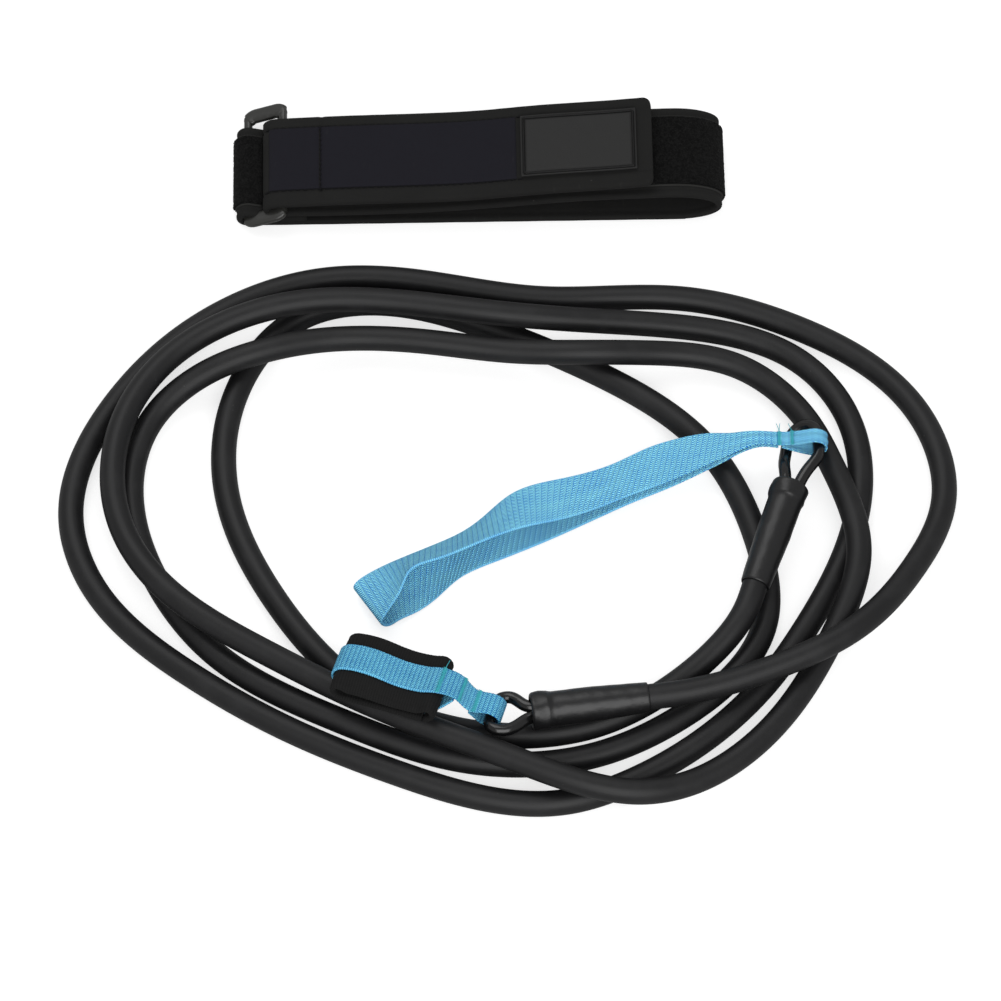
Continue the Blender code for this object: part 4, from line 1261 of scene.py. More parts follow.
@dataclass
class AnchorStrap:
    """The wide webbing loop: a lower layer, the fold, an upper layer, the neck and the eye on the cord."""

    eye: Place = (0.1560, 0.0195, 0.0245)
    width: float = 0.025
    thickness: float = 0.0013
    reach: float = 0.2365
    turn: float = radians(-158.9)
    eye_radius: float = 0.0063
    eye_opening: float = 1.28
    neck_width: float = 0.0078
    neck_length: float = 0.016
    neck_half_gap: float = 0.0011
    neck_aside_share: float = 0.30
    neck_near_share: float = 0.9
    neck_far_share: float = 1.5
    bar_shares: tuple[float, float] = (0.894, 0.907)
    whiskers: tuple[int, int] = (2, 1)
    step: float = 0.0011
    gathered_below: float = 0.021
    gather_range: float = 0.012
    pleat_depth: float = 0.00030
    # Shares: along of the reach, aside of the width, height of the eye's, yaw, rise, width
    stations: tuple[tuple[float, ...], ...] = (
        (0.16, 0.58, 0.80, -0.33, 0.03, 0.52), (0.22, 0.66, 0.68, -0.36, 0.06, 0.80),
        (0.30, 0.71, 0.53, -0.42, 0.12, 0.98), (0.36, 0.72, 0.45, -0.44, 0.14, 1.00),
        (0.45, 0.75, 0.21, -0.39, 0.05, 1.00), (0.55, 0.70, 0.11, -0.34, 0.00, 1.00),
        (0.68, 0.63, 0.09, -0.36, 0.03, 1.00), (0.76, 0.52, 0.10, -0.41, 0.05, 1.00),
        (0.83, 0.27, 0.16, -0.34, 0.11, 1.00), (0.89, 0.15, 0.15, -0.24, 0.09, 1.00),
        (0.95, 0.13, 0.12, -0.04, 0.05, 1.00), (0.99, 0.09, 0.11, 0.16, 0.03, 1.00),
        (1.00, 0.07, 0.37, 0.14, 0.04, 1.00), (0.97, 0.23, 0.41, 0.06, -0.10, 1.00),
        (0.93, 0.39, 0.48, -0.01, -0.31, 1.00), (0.89, 0.55, 0.53, -0.19, -0.48, 1.00),
        (0.83, 0.59, 0.55, -0.24, -0.48, 1.00), (0.76, 0.68, 0.48, -0.21, -0.45, 1.00),
        (0.70, 0.82, 0.44, -0.16, -0.36, 1.00), (0.63, 0.93, 0.49, -0.16, -0.15, 1.00),
        (0.54, 0.85, 0.51, -0.30, -0.03, 1.00), (0.44, 0.80, 0.52, -0.42, 0.07, 1.00),
        (0.35, 0.83, 0.60, -0.40, 0.13, 1.00), (0.29, 0.79, 0.68, -0.38, 0.10, 0.96),
        (0.22, 0.71, 0.80, -0.36, 0.06, 0.78), (0.16, 0.60, 0.91, -0.33, 0.03, 0.50),
    )

    def track(self) -> Track:
        """The webbing's track through the neck, the stations and the eye.

        Returns:
            The track.
        """
        eye = np.array(self.eye)
        along, far = heading(self.turn), right_of(self.turn)
        axis, back = np.array((0.0, 1.0, 0.0)), np.array((1.0, 0.0, 0.0))
        neck = self.neck_length * along + self.neck_aside_share * self.width * far
        table = np.array(self.stations)
        middles = eye + table[:, :1] * self.reach * along + table[:, 1:2] * self.width * far
        middles[:, 2] = table[:, 2] * eye[2]
        yaw, rise = table[:, 3:4] * QUARTER_TURN, table[:, 4:5] * QUARTER_TURN
        level = np.cos(yaw) * far + np.sin(yaw) * along
        across = np.cos(rise) * level + np.sin(rise) * UP
        body = np.concatenate([middles, across, table[:, 5:] * self.width], axis=1)

        def neck_row(side: int, stretch: float) -> tuple[float, ...]:
            """A station of the gathered neck, on its upper (1) or lower (-1) side."""
            return (*(eye + neck * stretch + side * self.neck_half_gap * UP), *axis, self.neck_width)

        listed = [neck_row(-1, 1.0), neck_row(-1, self.neck_far_share), *body]
        listed += [neck_row(1, self.neck_far_share), neck_row(1, 1.0)]
        listed += eye_rows(eye, back, axis, self.neck_width, self.eye_radius, self.eye_opening)
        listed.append(neck_row(-1, self.neck_near_share))
        return Track.through(listed)

    def build(self) -> None:
        """The webbing strip and its two bars of thread."""
        track = self.track()
        fine = track.stepped(self.step)
        gathers = np.clip((self.gathered_below - fine.widths) / self.gather_range, 0.0, 1.0)[:, None]

        def relief(run: Array, across: Array, side: Array) -> Array:
            """Pleats where the webbing is gathered, as waves across it."""
            return gathers * self.pleat_depth * side * np.sin(across * 1500.0 + 30 * run)

        form = strip(fine, Section(self.thickness, flats=28, edges=3), relief)
        item = form.piece("anchor_webbing", Look.STRAP, "blue_webbing", "anchor_loop", "anchor_strap")
        for number, (share, whiskers) in enumerate(zip(self.bar_shares, self.whiskers), 1):
            BarTack(f"anchor_bartack_{number}", "anchor_loop").sew(track, share, self.thickness / 2, whiskers)


@dataclass
class Cuff:
    """The padded loop, the narrow webbing round it that runs on to an eye, and the bars of thread."""

    middle: Place = (-0.0528, -0.1175, 0.0318)
    turn: float = radians(-16.5)
    roll: float = radians(-10.0)
    length: float = 0.054
    height: float = 0.0125
    pad_width: float = 0.035
    pad_thickness: float = 0.0035
    seam: float = 0.006
    webbing_width: float = 0.016
    webbing_thickness: float = 0.0012
    clearance: float = 0.0003
    flat_shares: tuple[float, ...] = (-0.6, -0.2, 0.2, 0.6)
    eye: Place = (-0.0050, -0.1303, 0.0224)
    eye_turn: float = radians(72.5)
    eye_radius: float = 0.0063
    eye_opening: float = 1.28
    neck_width: float = 0.0115
    sag: float = 0.0030
    sag_place: float = 0.009
    sag_reach: float = 0.013
    droop: float = 0.0042
    droop_start: float = 0.0085
    swell: float = 0.0010
    swell_place: float = -0.012
    swell_reach: float = 0.010
    end_held: float = 0.0015
    end_fade: float = 0.009
    loop_step: float = 0.0009
    pad_step: float = 0.0008
    webbing_step: float = 0.0005
    crown: float = 0.00035
    ripple: float = 0.00006
    groove_depth: float = 0.00028
    groove_inset: float = 0.0030
    groove_reach: float = 0.0006
    rib_height: float = 0.00010
    rib_reach: float = 0.003
    scallop: float = 0.00022
    scallop_pitch: float = 0.00165
    # Shares: of the way to the eye, aside of the webbing's width, height of the pad's
    upper_shares: tuple[tuple[float, ...], ...] = (
        (0.05, 0.08, 0.555), (0.44, 0.13, 0.19), (0.72, 0.00, -0.30),
    )
    lower_shares: tuple[tuple[float, ...], ...] = ((0.69, 0.00, -0.48), (0.40, 0.13, -0.01))
    bar_shares: tuple[float, ...] = (0.665, 0.728, 0.782)
    whiskers: tuple[int, ...] = (1, 0, 0)
    axes: tuple[Array, Array, Array] = field(init=False)

    def __post_init__(self) -> None:
        """Works out the loop's axes: along it, across it and up, turned about +Z after rolling about +X."""
        along = heading(self.turn)
        across = sin(self.roll) * UP - cos(self.roll) * right_of(self.turn)
        self.axes = along, across, np.cross(along, across)

    @property
    def radius(self) -> float:
        """The radius of the loop's round ends."""
        return self.height / 2

    @property
    def reach(self) -> float:
        """How far the middle of a round end lies from the loop's middle."""
        return self.length / 2 - self.radius

    def settled(self, places: Array) -> Array:
        """Places of the cuff as its soft foam lies: the upper layer sags towards the middle of its length,
        and its near margin droops on to the lower layer. The round ends keep their shape.

        Args:
            places: Places in the layout, one row each.

        Returns:
            The same places, moved.
        """
        along, across, up = self.axes
        off = places - np.array(self.middle)
        s, a, u = off @ along, off @ across, off @ up
        inner = self.radius - self.pad_thickness
        upper = np.clip((u + inner) / (2 * inner), 0.0, 1.0)
        upper = eased(upper) * 0.5 + upper * 0.5
        held = eased(np.clip((self.length / 2 - self.end_held - np.abs(s)) / self.end_fade, 0.0, 1.0))
        edge = np.clip((-a - self.droop_start) / (self.pad_width / 2 - self.droop_start), 0.0, 1.0) ** 1.4
        fall = self.sag * hump(s, self.sag_place, self.sag_reach)
        fall -= self.swell * hump(s, self.swell_place, self.swell_reach)
        most = 2 * inner - self.clearance
        down = most * np.tanh((fall + self.droop * edge) / most) * held * upper
        return places - down[:, None] * up

    def arc(
        self, side: int, inset: float, start: float, stop: float, width: float, count: int = 9
    ) -> list[tuple[float, ...]]:
        """Stations round one end at an inset from the loop's outside, between two angles in degrees.

        Args:
            side: 1 for the end that the loop's axis points to, -1 for the other.
            inset: How far inside the outside.
            start: The first angle.
            stop: The last angle.
            width: The width there.
            count: How many stations.

        Returns:
            The stations.
        """
        along, across, up = self.axes
        angles = np.radians(np.linspace(start, stop, count))[:, None]
        radius = self.radius - inset
        places = (side * self.reach + radius * np.cos(angles)) * along + radius * np.sin(angles) * up
        return [(*place, *across, width) for place in np.array(self.middle) + places]

    def flat(self, side: int, inset: float, width: float) -> list[tuple[float, ...]]:
        """Stations along the flat top (1) or underside (-1), in the way that the loop goes round.

        Args:
            side: The flat.
            inset: How far inside the loop's outside.
            width: The width there.

        Returns:
            The stations.
        """
        along, across, up = self.axes
        places = np.array(self.flat_shares)[:, None] * side * self.reach * along
        places += side * (self.radius - inset) * up
        return [(*place, *across, width) for place in np.array(self.middle) + places]

    def pad_track(self) -> Track:
        """The pad's closed loop, less a hair at its seam.

        Returns:
            The track.
        """
        inset, wide = self.pad_thickness / 2, self.pad_width
        listed = self.arc(1, inset, -90, 90, wide, 25) + self.arc(-1, inset, 90, 270, wide, 25)
        listed.append(listed[0])
        table = evenly(np.array(listed), self.loop_step)
        return Track(table).squared().between(self.seam, 1 - self.seam)

    def webbing_track(self) -> Track:
        """The webbing's track, round the pad and on to the eye.

        Returns:
            The track.
        """
        along, across, _ = self.axes
        end = np.array(self.middle) + self.reach * along
        eye = np.array(self.eye)
        to_eye = eye - end
        to_eye[2] = 0.0
        axis = heading(self.eye_turn)
        over = -(self.clearance + self.webbing_thickness / 2)
        wide = self.webbing_width

        def neck_row(row: tuple[float, ...]) -> tuple[float, ...]:
            """A station between the pad and the eye, which turns and narrows by its share of the way.

            Args:
                row: The share, and the shares aside and up.

            Returns:
                The station.
            """
            share, aside, height = row
            place = end + share * to_eye + aside * wide * across
            place[2] = end[2] + height * self.height
            slant = unit((1 - share) * across + share * axis)
            return (*place, *slant, wide + share * (self.neck_width - wide))

        lower = [neck_row(row) for row in self.lower_shares]
        upper = [neck_row(row) for row in self.upper_shares]
        way = eye - np.array(upper[-1][:3])
        way = unit(way - way.dot(axis) * axis)
        listed = [lower[-1], *self.arc(1, over, -40, -90, wide, 5), *self.flat(-1, over, wide)]
        listed += self.arc(-1, over, 270, 90, wide) + self.flat(1, over, wide)
        listed += upper + eye_rows(eye, way, axis, self.neck_width, self.eye_radius, self.eye_opening)
        return Track.through(listed + lower[:1])

    def build(self) -> None:
        """The pad, the webbing and the bars of thread."""
        margin = self.pad_width / 2

        def crown(run: Array, across: Array, side: Array) -> Array:
            """The pad's faces crown a little in the middle, and its ribbed edges dip where they are bound.

            Args:
                run: Distance along.
                across: Distance across.
                side: 1 on the face, -1 on the back.

            Returns:
                The height added.
            """
            aside = np.abs(across)
            share = np.clip(aside / margin, 0.0, 1.0)
            groove = self.groove_depth * hump(aside, margin - self.groove_inset, self.groove_reach)
            ribs = self.rib_height * np.sin(run * 3400) * hump(aside, margin, self.rib_reach)
            ripple = self.ripple * np.sin(run * 900) * (side > 0)
            return -self.crown * share ** 4 - groove + ripple + ribs

        section = Section(self.pad_thickness, flats=40, edges=9)
        pad = strip(self.pad_track().stepped(self.pad_step), section, crown)
        pad.places = self.settled(pad.places)
        pad.piece("cuff_padding", Look.PAD, "cuff_foam", "cuff", "cuff_pad")
        track = self.webbing_track()
        fine = track.stepped(self.webbing_step)
        fine.table[:, 6] += self.scallop * np.sin(run_along(fine.table) * 2 * pi / self.scallop_pitch)
        band = strip(fine, Section(self.webbing_thickness, flats=24, edges=3))
        band.places = self.settled(band.places)
        item = band.piece("cuff_band", Look.CUFF_WEBBING, "blue_webbing", "cuff", "cuff_webbing")
        for number, (share, whiskers) in enumerate(zip(self.bar_shares, self.whiskers), 1):
            BarTack(f"cuff_bartack_{number}", "cuff").sew(track, share, self.webbing_thickness / 2, whiskers)


# Belt


@dataclass
class FoldedBelt:
    """The waist belt: one padded band round both bars of a ring, with pile outside and a flap on top."""

    width: float = 0.054
    thickness: float = 0.0035
    middle: Place = (-0.0092, 0.1914, 0.0)
    turn: float = radians(1.0)
    reach: float = 0.2415
    layer_gap: float = 0.00045
    wrap_clearance: float = 0.00045
    clearance: float = 0.0003
    fold_depth: float = 0.0228
    fold_height: float = 0.0223
    tab_length: float = 0.030
    ring_span: float = 0.0198
    ring_length: float = 0.0715
    ring_wire: float = 0.004
    ring_corner: float = 0.006
    ring_shift: float = 0.0041
    ring_broadening: float = 0.0020
    slack: float = 0.0044
    seam_place: float = 0.0385
    seam_rise: float = 0.0012
    flap_share: float = 0.698
    flap_rise: float = 0.0140
    flap_corner: float = 0.0045
    far_row: float = 0.0201
    near_row: float = -0.0180
    lining_before: float = 0.0265
    seam_reach: float = 0.0075
    step: float = 0.0010
    groove_inset: float = 0.0040
    groove_reach: float = 0.0008
    groove_depth: float = 0.00035
    ripple: float = 0.00005
    cut_reach: float = 0.0009
    row_depth: float = 0.00065
    cross_depth: float = 0.00060
    pull_aside: float = 0.0235
    pull_height: float = 0.00012
    pile_thickness: float = 0.0012
    pile_width: float = 0.041
    fuzz_step: float = 0.0006
    fuzz_height: float = 0.00045
    fuzz_sink: float = 0.0001
    binding_aside: float = 0.0209
    binding_radius: float = 0.00055
    binding_sink: float = 0.0002
    ring_sides: int = 28
    ring_step: float = 0.0007
    lining_thickness: float = 0.0006
    lining_rise: float = 0.00005
    lining_share: float = 0.59
    lining_groove: float = 0.00070
    lining_groove_reach: float = 0.0010
    hook_thickness: float = 0.0014
    hook_width: float = 0.042
    hook_shares: tuple[float, float] = (0.66, 0.955)
    badge_thickness: float = 0.0015
    badge_width: float = 0.037
    badge_inset: float = 0.0016
    badge_groove: float = 0.00055
    badge_groove_reach: float = 0.0011
    badge_step: float = 0.0005
    badge_shares: tuple[float, float] = (0.605, 0.955)
    badge_shift: Place = (0.0, 0.001, 0.0)
    rim_radius: float = 0.00065
    rim_sink: float = 0.0004
    rim_step: float = 0.0009
    stitch_pitch: float = 0.0038
    stitch_length: float = 0.0026
    stitch_thread: float = 0.00080
    stitch_rise: float = 0.00010
    stitch_sink: float = 0.0003
    stitch_start: float = 0.006
    stitch_share: float = 0.60
    cross_pitch: float = 0.0030
    cross_length: float = 0.0023
    cross_thread: float = 0.00085
    cross_arch: float = 0.00012
    cross_rise: float = 0.00015
    facings: tuple[tuple[str, str, tuple[float, float]], ...] = (
        ("belt_pile_facing", "belt_loop_pile", (0.509, 0.80)),
        ("tab_pile_facing", "ring_tab_pile", (0.043, 0.0675)),
    )
    floor_shares: tuple[float, ...] = (0.08, 0.20, 0.32, 0.44, 0.56, 0.68, 0.80, 0.88)
    layer_shares: tuple[tuple[float, float], ...] = (
        (0.835, 0.975), (0.730, 0.92), (0.620, 0.80), (0.500, 0.64), (0.350, 0.50), (0.240, 0.452),
        (0.160, 0.436),
    )
    flap_shares: tuple[tuple[float, float], ...] = (
        (0.115, 0.057), (0.295, 0.122), (0.476, 0.257), (0.620, 0.500), (0.777, 0.700),
        (0.910, 0.857), (1.0, 1.0),
    )

    def __post_init__(self) -> None:
        """Works out the flap's length, and from the layers' heights where the ring's bars and seam lie."""
        self.half = self.thickness / 2
        self.section = Section(self.thickness, flats=54, edges=9)
        self.flap_length = self.flap_share * self.reach
        self.wrap = self.ring_wire / 2 + self.wrap_clearance + self.half
        self.start = -self.reach / 2
        self.tab = self.half + self.thickness + self.layer_gap
        self.under = self.tab + self.thickness + self.layer_gap
        self.low = (self.start, self.half + self.wrap)
        rise = self.under + self.wrap - self.low[1]
        self.lean = asin(rise / self.ring_span)
        self.high = (self.start + self.ring_span * cos(self.lean), self.low[1] + rise)
        self.over = self.high[1] + self.wrap
        self.seam = (self.start + self.seam_place, self.over + self.seam_rise)

    def laid(self, table: Array) -> Array:
        """Places or a track's rows moved from the belt's own frame to the layout: turned, then shifted.

        Args:
            table: Rows that start with a place, and may go on with a direction.

        Returns:
            The moved rows.
        """
        turned = table.copy()
        spin = np.stack((heading(self.turn), -right_of(self.turn), UP))
        turned[:, :3] = table[:, :3] @ spin + np.array(self.middle)
        if table.shape[1] > 3:
            turned[:, 3:6] = table[:, 3:6] @ spin
        return turned

    def track(self, points: Sequence[tuple[float, float]]) -> Track:
        """A smooth track from places (x, z) in the belt's own frame, with the belt's width across it."""
        return Track.through([(x, 0.0, z, 0.0, 1.0, 0.0, self.width) for x, z in points])

    @staticmethod
    def oval(
        middle: tuple[float, float], long: float, high: float, start: float, stop: float
    ) -> list[tuple[float, float]]:
        """Places on an oval, from one angle to another in degrees."""
        angles = np.radians(np.linspace(start, stop, 9))
        return [(middle[0] + long * cos(angle), middle[1] + high * sin(angle)) for angle in angles]

    def whole_track(self) -> tuple[Track, float, float]:
        """The belt from its tab to its tip: tab, round the low bar, along the floor, the fold, the middle
        layer, round the high bar, the seam and the flap.

        Returns:
            The track, and the distances along it to the underside of the high bar and to the seam.
        """
        fold_high = (self.fold_height - self.half) / 2
        fold = (self.reach / 2 - self.fold_depth, self.half + fold_high)
        tab_end = self.start + self.tab_length
        points = [(tab_end, self.tab), (tab_end - self.tab_length / 2, self.tab)]
        points += self.oval(self.low, self.wrap, self.wrap, 66, 270)
        points += [(self.start + share * self.reach, self.half) for share in self.floor_shares]
        points += self.oval(fold, self.fold_depth, fold_high, -70, 90)
        layer = np.array(self.layer_shares) * (self.reach, self.fold_height) + (self.start, 0.0)
        points += layer.tolist()
        points += [(self.high[0] + self.wrap, self.under)]
        under = len(points)
        points += self.oval(self.high, self.wrap + self.slack, self.wrap, 270, 90)
        points += [((self.high[0] + self.seam[0]) / 2, (self.over + self.seam[1]) / 2), self.seam]
        seam = len(points) - 1
        start = self.seam[0] + self.clearance
        points += [
            (start + along * self.flap_length, self.seam[1] + rise * self.flap_rise)
            for along, rise in self.flap_shares
        ]
        steps = run_along(np.array(points))
        track = self.track(points)
        low = track.table[:, 2] < self.half + self.clearance
        track.table[low, 2] = self.half
        scale = track.length / steps[-1]
        return track, float(steps[under] * scale), float(steps[seam] * scale)

    def rounded(self, track: Track, corner: float, step: float) -> Track:
        """The track with its last corners rounded: the width falls as a quarter circle towards the end.

        Args:
            track: The track.
            corner: The corners' radius.
            step: The step before the corners.

        Returns:
            The rounded track.
        """
        run = run_along(track.table)
        into = np.clip(corner - (run[-1] - run), 0.0, corner)
        table = track.table.copy()
        table[:, 6] -= 2 * (corner - np.sqrt(corner ** 2 - into ** 2))
        body = evenly(Track(table).between(0.0, 1 - corner / run[-1]).table, step)
        tip = evenly(Track(table).between(1 - corner / run[-1], 1.0).table, step / 4)
        return Track(np.concatenate([body[:-1], tip])).squared()

    def cloth(
        self, name: str, track: Track, section: Section, look: Look, slot: str, body: str | Crossing,
        node: str, relief: Relief | None = None,
    ) -> None:
        """One strip of the belt, laid in its place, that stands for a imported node."""
        strip(Track(self.laid(track.table)), section, relief).piece(name, look, slot, body, node)

    def seam_along(self, track: Track, aside: float, start: float, stop: float) -> Form:
        """A row of stitches along the top of a track, at a distance from its middle.

        Args:
            track: The track that carries it.
            aside: The distance from the middle.
            start: The share of the length where it starts.
            stop: The share where it stops.

        Returns:
            The stitches.
        """
        part = Track(self.laid(track.between(start, stop).table)).stepped(self.stitch_pitch)
        foot = part.middles + aside * part.across + (self.half - self.stitch_sink) * part.face
        beside = np.cross(part.face, part.along)
        sizes = self.stitch_length, self.stitch_thread, self.stitch_rise
        return stitch_row(foot, part.along, beside, part.face, *sizes)

    def seam_across(self, track: Track, share: float) -> Form:
        """The row of stitches that runs across the top of the belt at a share of its length.

        Args:
            track: The belt's track.
            share: The share.

        Returns:
            The stitches.
        """
        part = Track(self.laid(track.between(share - 0.001, share + 0.001).table))
        middle, across, along, face = part.middles[1], part.across[1], part.along[1], part.face[1]
        aside = np.arange(self.near_row, self.far_row, self.cross_pitch)[:, None]
        foot = middle + aside * across + (self.half + self.cross_rise) * face
        sizes = self.cross_length, self.cross_thread, self.cross_arch
        row = stitch_row(foot, across, along, face, *sizes)
        return Form(row.places, [face[::-1] for face in row.faces], row.uv)

    def band(self) -> None:
        """The band, and its two facings of pile with the binding along their edges."""
        track, under, seam = self.whole_track()

        def relief(run: Array, across: Array, side: Array) -> Array:
            """A soft groove inside each edge of both faces, and a slight ripple all over."""
            groove = hump(np.abs(across), self.width / 2 - self.groove_inset, self.groove_reach)
            return -self.groove_depth * groove + self.ripple * np.sin(run * 260 + across * 90)

        lower = track.between(0.0, under / track.length).stepped(self.step)
        self.cloth("belt_cloth", lower, self.section, Look.BELT, "belt_fabric", "tether", "belt_band", relief)
        rng = np.random.default_rng(SEED)

        def fuzzy(run: Array, across: Array, side: Array) -> Array:
            """The outer side stands in small random loops."""
            loops = rng.uniform(0.0, 1.0, run.shape)
            return np.where(side < 0, self.fuzz_height * loops - self.fuzz_sink, 0.0)

        section = Section(self.pile_thickness, flats=64, edges=3)
        lift = self.half + self.clearance + self.pile_thickness / 2
        for name, node, shares in self.facings:
            part = track.between(*(share * seam / track.length for share in shares))
            pile = part.lifted(-lift).widened(self.pile_width).stepped(self.fuzz_step)
            self.cloth(name, pile, section, Look.PILE, "loop_pile", "tether", node, fuzzy)
            edge = Track(self.laid(part.lifted(-(self.half + self.binding_sink)).stepped(self.step).table))
            sides = (edge.middles + sign * self.binding_aside * edge.across for sign in (-1, 1))
            bars = Form.joined([round_bar(side, self.binding_radius, 8) for side in sides])
            bars.piece(f"{name}_edging", Look.PIPING, "loop_pile", "tether")

    def ring(self) -> None:
        """The ring: an oblong of bar that leans from its low to its high bar, broader at both short sides."""
        lean = np.array((cos(self.lean), 0.0, sin(self.lean)))
        x, z = ((low + high) / 2 for low, high in zip(self.low, self.high))
        middle = np.array((x, self.ring_shift, z))
        half = self.ring_wire / 2
        bend, side = self.ring_corner - half, self.ring_length / 2 - half
        quarters = np.repeat(np.arange(4), 12)
        angles = np.radians(90 * quarters + np.tile(np.linspace(0, 90, 12), 4))
        x_sign, y_sign = np.array((1, -1, -1, 1))[quarters], np.array((1, 1, -1, -1))[quarters]
        x = x_sign * (self.ring_span / 2 - bend) + bend * np.cos(angles)
        y = y_sign * (side - bend) + bend * np.sin(angles)
        path = middle + x[:, None] * lean + y[:, None] * np.array((0.0, 1.0, 0.0))
        path = evenly(np.concatenate([path, path[:1]]), self.ring_step)[:-1]
        aside = path[:, 1] - middle[1]
        broad = eased(np.clip((np.abs(aside) / side - 0.86) / 0.10, 0.0, 1.0))[:, None]
        path[:, 1] -= np.sign(aside) * broad[:, 0] * self.ring_broadening
        path = self.laid(path)
        way = unit(np.roll(path, -1, axis=0) - np.roll(path, 1, axis=0))
        flat = self.laid(np.stack([lean, np.zeros(3)]))
        off = unit(np.cross(flat[0] - flat[1], heading(self.turn + QUARTER_TURN)))
        beside = np.cross(way, off)
        angle = np.linspace(0.0, 2 * pi, self.ring_sides, endpoint=False)
        wide, high = (np.sign(part) * np.abs(part) ** 0.7 for part in (np.cos(angle), np.sin(angle)))
        reach = half + broad * self.ring_broadening
        places = path[:, None] + (reach * wide)[..., None] * beside[:, None]
        places += half * high[None, :, None] * off
        uv = np.stack(np.broadcast_arrays(run_along(path)[:, None], angle * half), axis=2)
        form = Form(places, grid_faces(len(path), self.ring_sides, closed=True), uv)
        form.piece("belt_ring_bar", Look.RING, "ring_plastic", "tether", "belt_ring")

    @property
    def crossing(self) -> Crossing:
        """The crossing of the belt's top cloth: the band before the seam and the flap beyond it.

        Returns:
            How the cloth is shared between the two.
        """
        shifts = np.array(((-self.seam_reach, 0.0, 0.0), (self.seam_reach, 0.0, 0.0)))
        ends = self.laid(np.array((self.seam[0], 0.0, self.seam[1])) + shifts) - LAYOUT_MIDDLE
        return Crossing("tether", "flap", *(tuple(end) for end in ends.tolist()))

    def top(self) -> None:
        """The top cloth from the high bar to the tip, with its lining, hook tape, badge and stitches."""
        whole, under, seam = self.whole_track()
        length = whole.length
        flap = whole.between(seam / length, 1.0)
        far, near, crossing = self.far_row, self.near_row, self.crossing

        def relief(run: Array, across: Array, side: Array) -> Array:
            """Grooves along the stitches and across the seam, and folds that the pull of the seam leaves.

            Args:
                run: Distance along.
                across: Distance across.
                side: 1 on the face, -1 on the back.

            Returns:
                The height added.
            """
            rows_cut = hump(across, far, self.cut_reach) + hump(across, near, self.cut_reach)
            cross = hump(run, seam - under, self.cut_reach) * (side > 0)
            pull = np.sin(run * 310 + 4 * np.sin(run * 90)) * hump(np.abs(across), self.pull_aside, 0.003)
            return -self.row_depth * rows_cut - self.cross_depth * cross + self.pull_height * pull

        top = self.rounded(whole.between(under / length, 1.0), self.flap_corner, self.step)
        look = Look.BELT
        self.cloth("belt_top_cloth", top, self.section, look, "belt_fabric", crossing, "belt_flap", relief)

        def seamed(run: Array, across: Array, side: Array) -> Array:
            """The groove of the cross seam in the lining."""
            return -self.lining_groove * hump(run, self.lining_before, self.lining_groove_reach) * (side > 0)

        first, last = (seam - self.lining_before) / length, (seam + self.lining_share * flap.length) / length
        lining = whole.between(first, last).lifted(self.half + self.lining_rise, (0.0, (far + near) / 2, 0.0))
        lining = lining.widened(far - near - self.lining_thickness).stepped(self.step)
        section, look = Section(self.lining_thickness, flats=36, edges=3), Look.LINING
        self.cloth("flap_lining_cloth", lining, section, look, "navy_lining", crossing, "flap_lining", seamed)
        hook = flap.between(*self.hook_shares).lifted(-(self.half + self.clearance + self.hook_thickness / 2))
        hook = hook.widened(self.hook_width).stepped(self.step)
        section = Section(self.hook_thickness, flats=36, edges=3)
        self.cloth("flap_hook_tape", hook, section, Look.HOOK, "hook_tape", "flap", "flap_hook_patch")
        self.badge(flap)
        first, last = (under + self.stitch_start) / length, (seam + self.stitch_share * flap.length) / length
        sewn = [self.seam_along(whole, aside, first, last) for aside in (far, near)]
        sewn.append(self.seam_across(whole, seam / length))
        Form.joined(sewn).piece("belt_stitches", Look.DARK_THREAD, "belt_fabric", crossing)

    def badge(self, flap: Track) -> None:
        """The moulded badge: a flat blank panel inside a groove and a raised rim, with rounded corners.

        Args:
            flap: The flap's track.
        """
        thick, width, inset = self.badge_thickness, self.badge_width, self.badge_inset
        lift = self.half + self.clearance + thick / 2
        part = flap.between(*self.badge_shares).lifted(lift, self.badge_shift)
        fine = part.widened(width).stepped(self.badge_step)
        length = fine.length

        def relief(run: Array, across: Array, side: Array) -> Array:
            """Height by the distance from the badge's edge: rim, groove, then the panel."""
            from_edge = np.minimum(np.minimum(run, length - run), width / 2 - np.abs(across))
            groove = np.exp(-((from_edge - inset) / self.badge_groove_reach) ** 4)
            return np.where(side > 0, -self.badge_groove * groove, 0.0)

        section = Section(thick, flats=90, edges=5)
        self.cloth("badge_moulding", fine, section, Look.BADGE, "badge_rubber", "flap", "badge_patch", relief)
        inner = fine.between(inset / length, 1 - inset / length)
        top = Track(self.laid(inner.lifted(thick / 2 - self.rim_sink).table))
        far, near = (top.middles + sign * (width / 2 - inset) * top.across for sign in (1, -1))
        ring = evenly(np.concatenate([far, near[::-1], far[:1]]), self.rim_step)[:-1]
        rim = round_bar(ring, self.rim_radius, 8, closed=True)
        rim.piece("badge_rim", Look.BADGE_RIM, "badge_rubber", "flap")

    def build(self) -> None:
        """Every piece of the belt."""
        self.band()
        self.ring()
        self.top()


# Studio


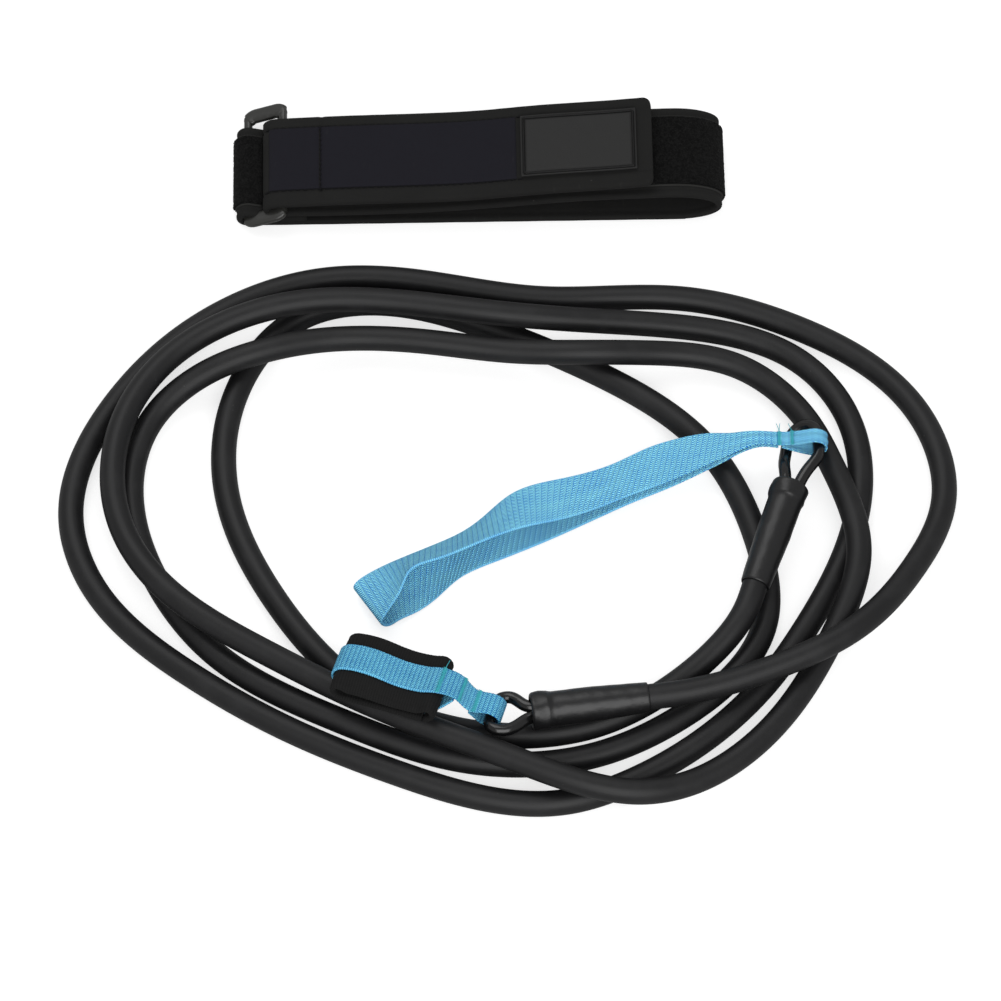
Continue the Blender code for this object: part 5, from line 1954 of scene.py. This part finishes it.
@dataclass
class Studio:
    """The camera, the white floor, the lamps and the pale surroundings."""

    elevation: float = radians(60.0)
    distance: float = 3.0
    half_view: float = 0.25025
    sensor_width: float = 36.0
    clip: tuple[float, float] = (0.1, 30.0)
    floor_half: float = 3.0
    floor_level: float = -0.0002
    floor_grey: Colour = (0.50, 0.50, 0.50)
    floor_glow: float = 0.66
    # Each lamp's place, size and power
    lamps: tuple[tuple[str, Place, float, float], ...] = (
        ("key", (0.25, -1.7, 1.5), 2.0, 40.0), ("back", (-0.5, 1.0, 2.0), 1.6, 16.0),
    )
    world_strength: float = 0.50

    def camera(self) -> None:
        """A camera at the photograph's angle, aimed at the plan's origin on the floor."""
        data = bpy.data.cameras.new("view")
        data.sensor_width = self.sensor_width
        data.lens = data.sensor_width / 2 / (self.half_view / self.distance)
        data.clip_start, data.clip_end = self.clip
        item = bpy.data.objects.new("view", data)
        bpy.context.scene.collection.objects.link(item)
        back = Vector((0.0, -cos(self.elevation), sin(self.elevation)))
        item.location = Vector(-LAYOUT_MIDDLE) + back * self.distance
        item.rotation_euler = (-back).to_track_quat("-Z", "Y").to_euler()
        bpy.context.scene.camera = item

    def floor(self) -> None:
        """A wide plain floor that shows white where nothing shades it."""
        size, level = self.floor_half, self.floor_level
        corners = [(-size, -size, level), (size, -size, level), (size, size, level), (-size, size, level)]
        mesh = bpy.data.meshes.new("floor")
        mesh.from_pydata(corners, [], [(0, 1, 2, 3)])
        item = bpy.data.objects.new("floor", mesh)
        bpy.context.scene.collection.objects.link(item)
        recipe = Recipe("white floor")
        recipe.finish(Base_Color=self.floor_grey, Roughness=0.9, Specular_IOR_Level=0.0)
        white = {"Color": (1.0, 1.0, 1.0), "Strength": self.floor_glow}
        glow = recipe.node("ShaderNodeEmission", inputs=white)
        both = recipe.node("ShaderNodeAddShader")
        path = recipe.node("ShaderNodeLightPath")
        seen = recipe.node("ShaderNodeMixShader", inputs={0: Value(recipe, path.outputs["Is Camera Ray"])})
        links = recipe.tree.links
        links.new(recipe.shader.outputs[0], both.inputs[0])
        links.new(glow.outputs[0], both.inputs[1])
        links.new(recipe.shader.outputs[0], seen.inputs[1])
        links.new(both.outputs[0], seen.inputs[2])
        links.new(seen.outputs[0], recipe.tree.nodes["Material Output"].inputs["Surface"])
        mesh.materials.append(recipe.material)

    def lamp(self, name: str, place: Sequence[float], size: float, power: float) -> None:
        """A square soft lamp aimed at the origin.

        Args:
            name: The lamp's name.
            place: Where it hangs.
            size: Its side.
            power: Its watts.
        """
        data = bpy.data.lights.new(name, "AREA")
        data.shape, data.size, data.energy = "SQUARE", size, power
        item = bpy.data.objects.new(name, data)
        bpy.context.scene.collection.objects.link(item)
        item.location = place
        item.rotation_euler = Vector(place).to_track_quat("Z", "Y").to_euler()

    def surroundings(self) -> None:
        """Even pale light from all round, shown white to the camera."""
        world = bpy.data.worlds.new("surroundings")
        world.use_nodes = True
        bpy.context.scene.world = world
        tree = world.node_tree
        shade = tree.nodes["Background"]
        shade.inputs["Color"].default_value = (1.0, 1.0, 1.0, 1.0)
        path = tree.nodes.new("ShaderNodeLightPath")
        seen = tree.nodes.new("ShaderNodeMath")
        seen.operation = "MAXIMUM"
        tree.links.new(path.outputs["Is Camera Ray"], seen.inputs[0])
        tree.links.new(path.outputs["Is Transmission Ray"], seen.inputs[1])
        scale = tree.nodes.new("ShaderNodeMath")
        scale.operation = "MULTIPLY_ADD"
        scale.inputs[1].default_value = 1.0 - self.world_strength
        scale.inputs[2].default_value = self.world_strength
        tree.links.new(seen.outputs[0], scale.inputs[0])
        tree.links.new(scale.outputs[0], shade.inputs["Strength"])

    def build(self) -> None:
        """The whole studio."""
        bpy.context.scene.view_settings.view_transform = "Standard"
        self.camera()
        self.floor()
        for lamp in self.lamps:
            self.lamp(*lamp)
        self.surroundings()


def main() -> None:
    """Builds the studio, then the tube with its fittings, the strap, the cuff and the belt."""
    logging.basicConfig(level=logging.INFO, format="%(message)s")
    Studio().build()
    ElasticTube(ANCHOR_FITTING, CUFF_FITTING).build()
    for part in (ANCHOR_FITTING, CUFF_FITTING, AnchorStrap(), Cuff(), FoldedBelt()):
        part.build()


if __name__ == "__main__":
    main()
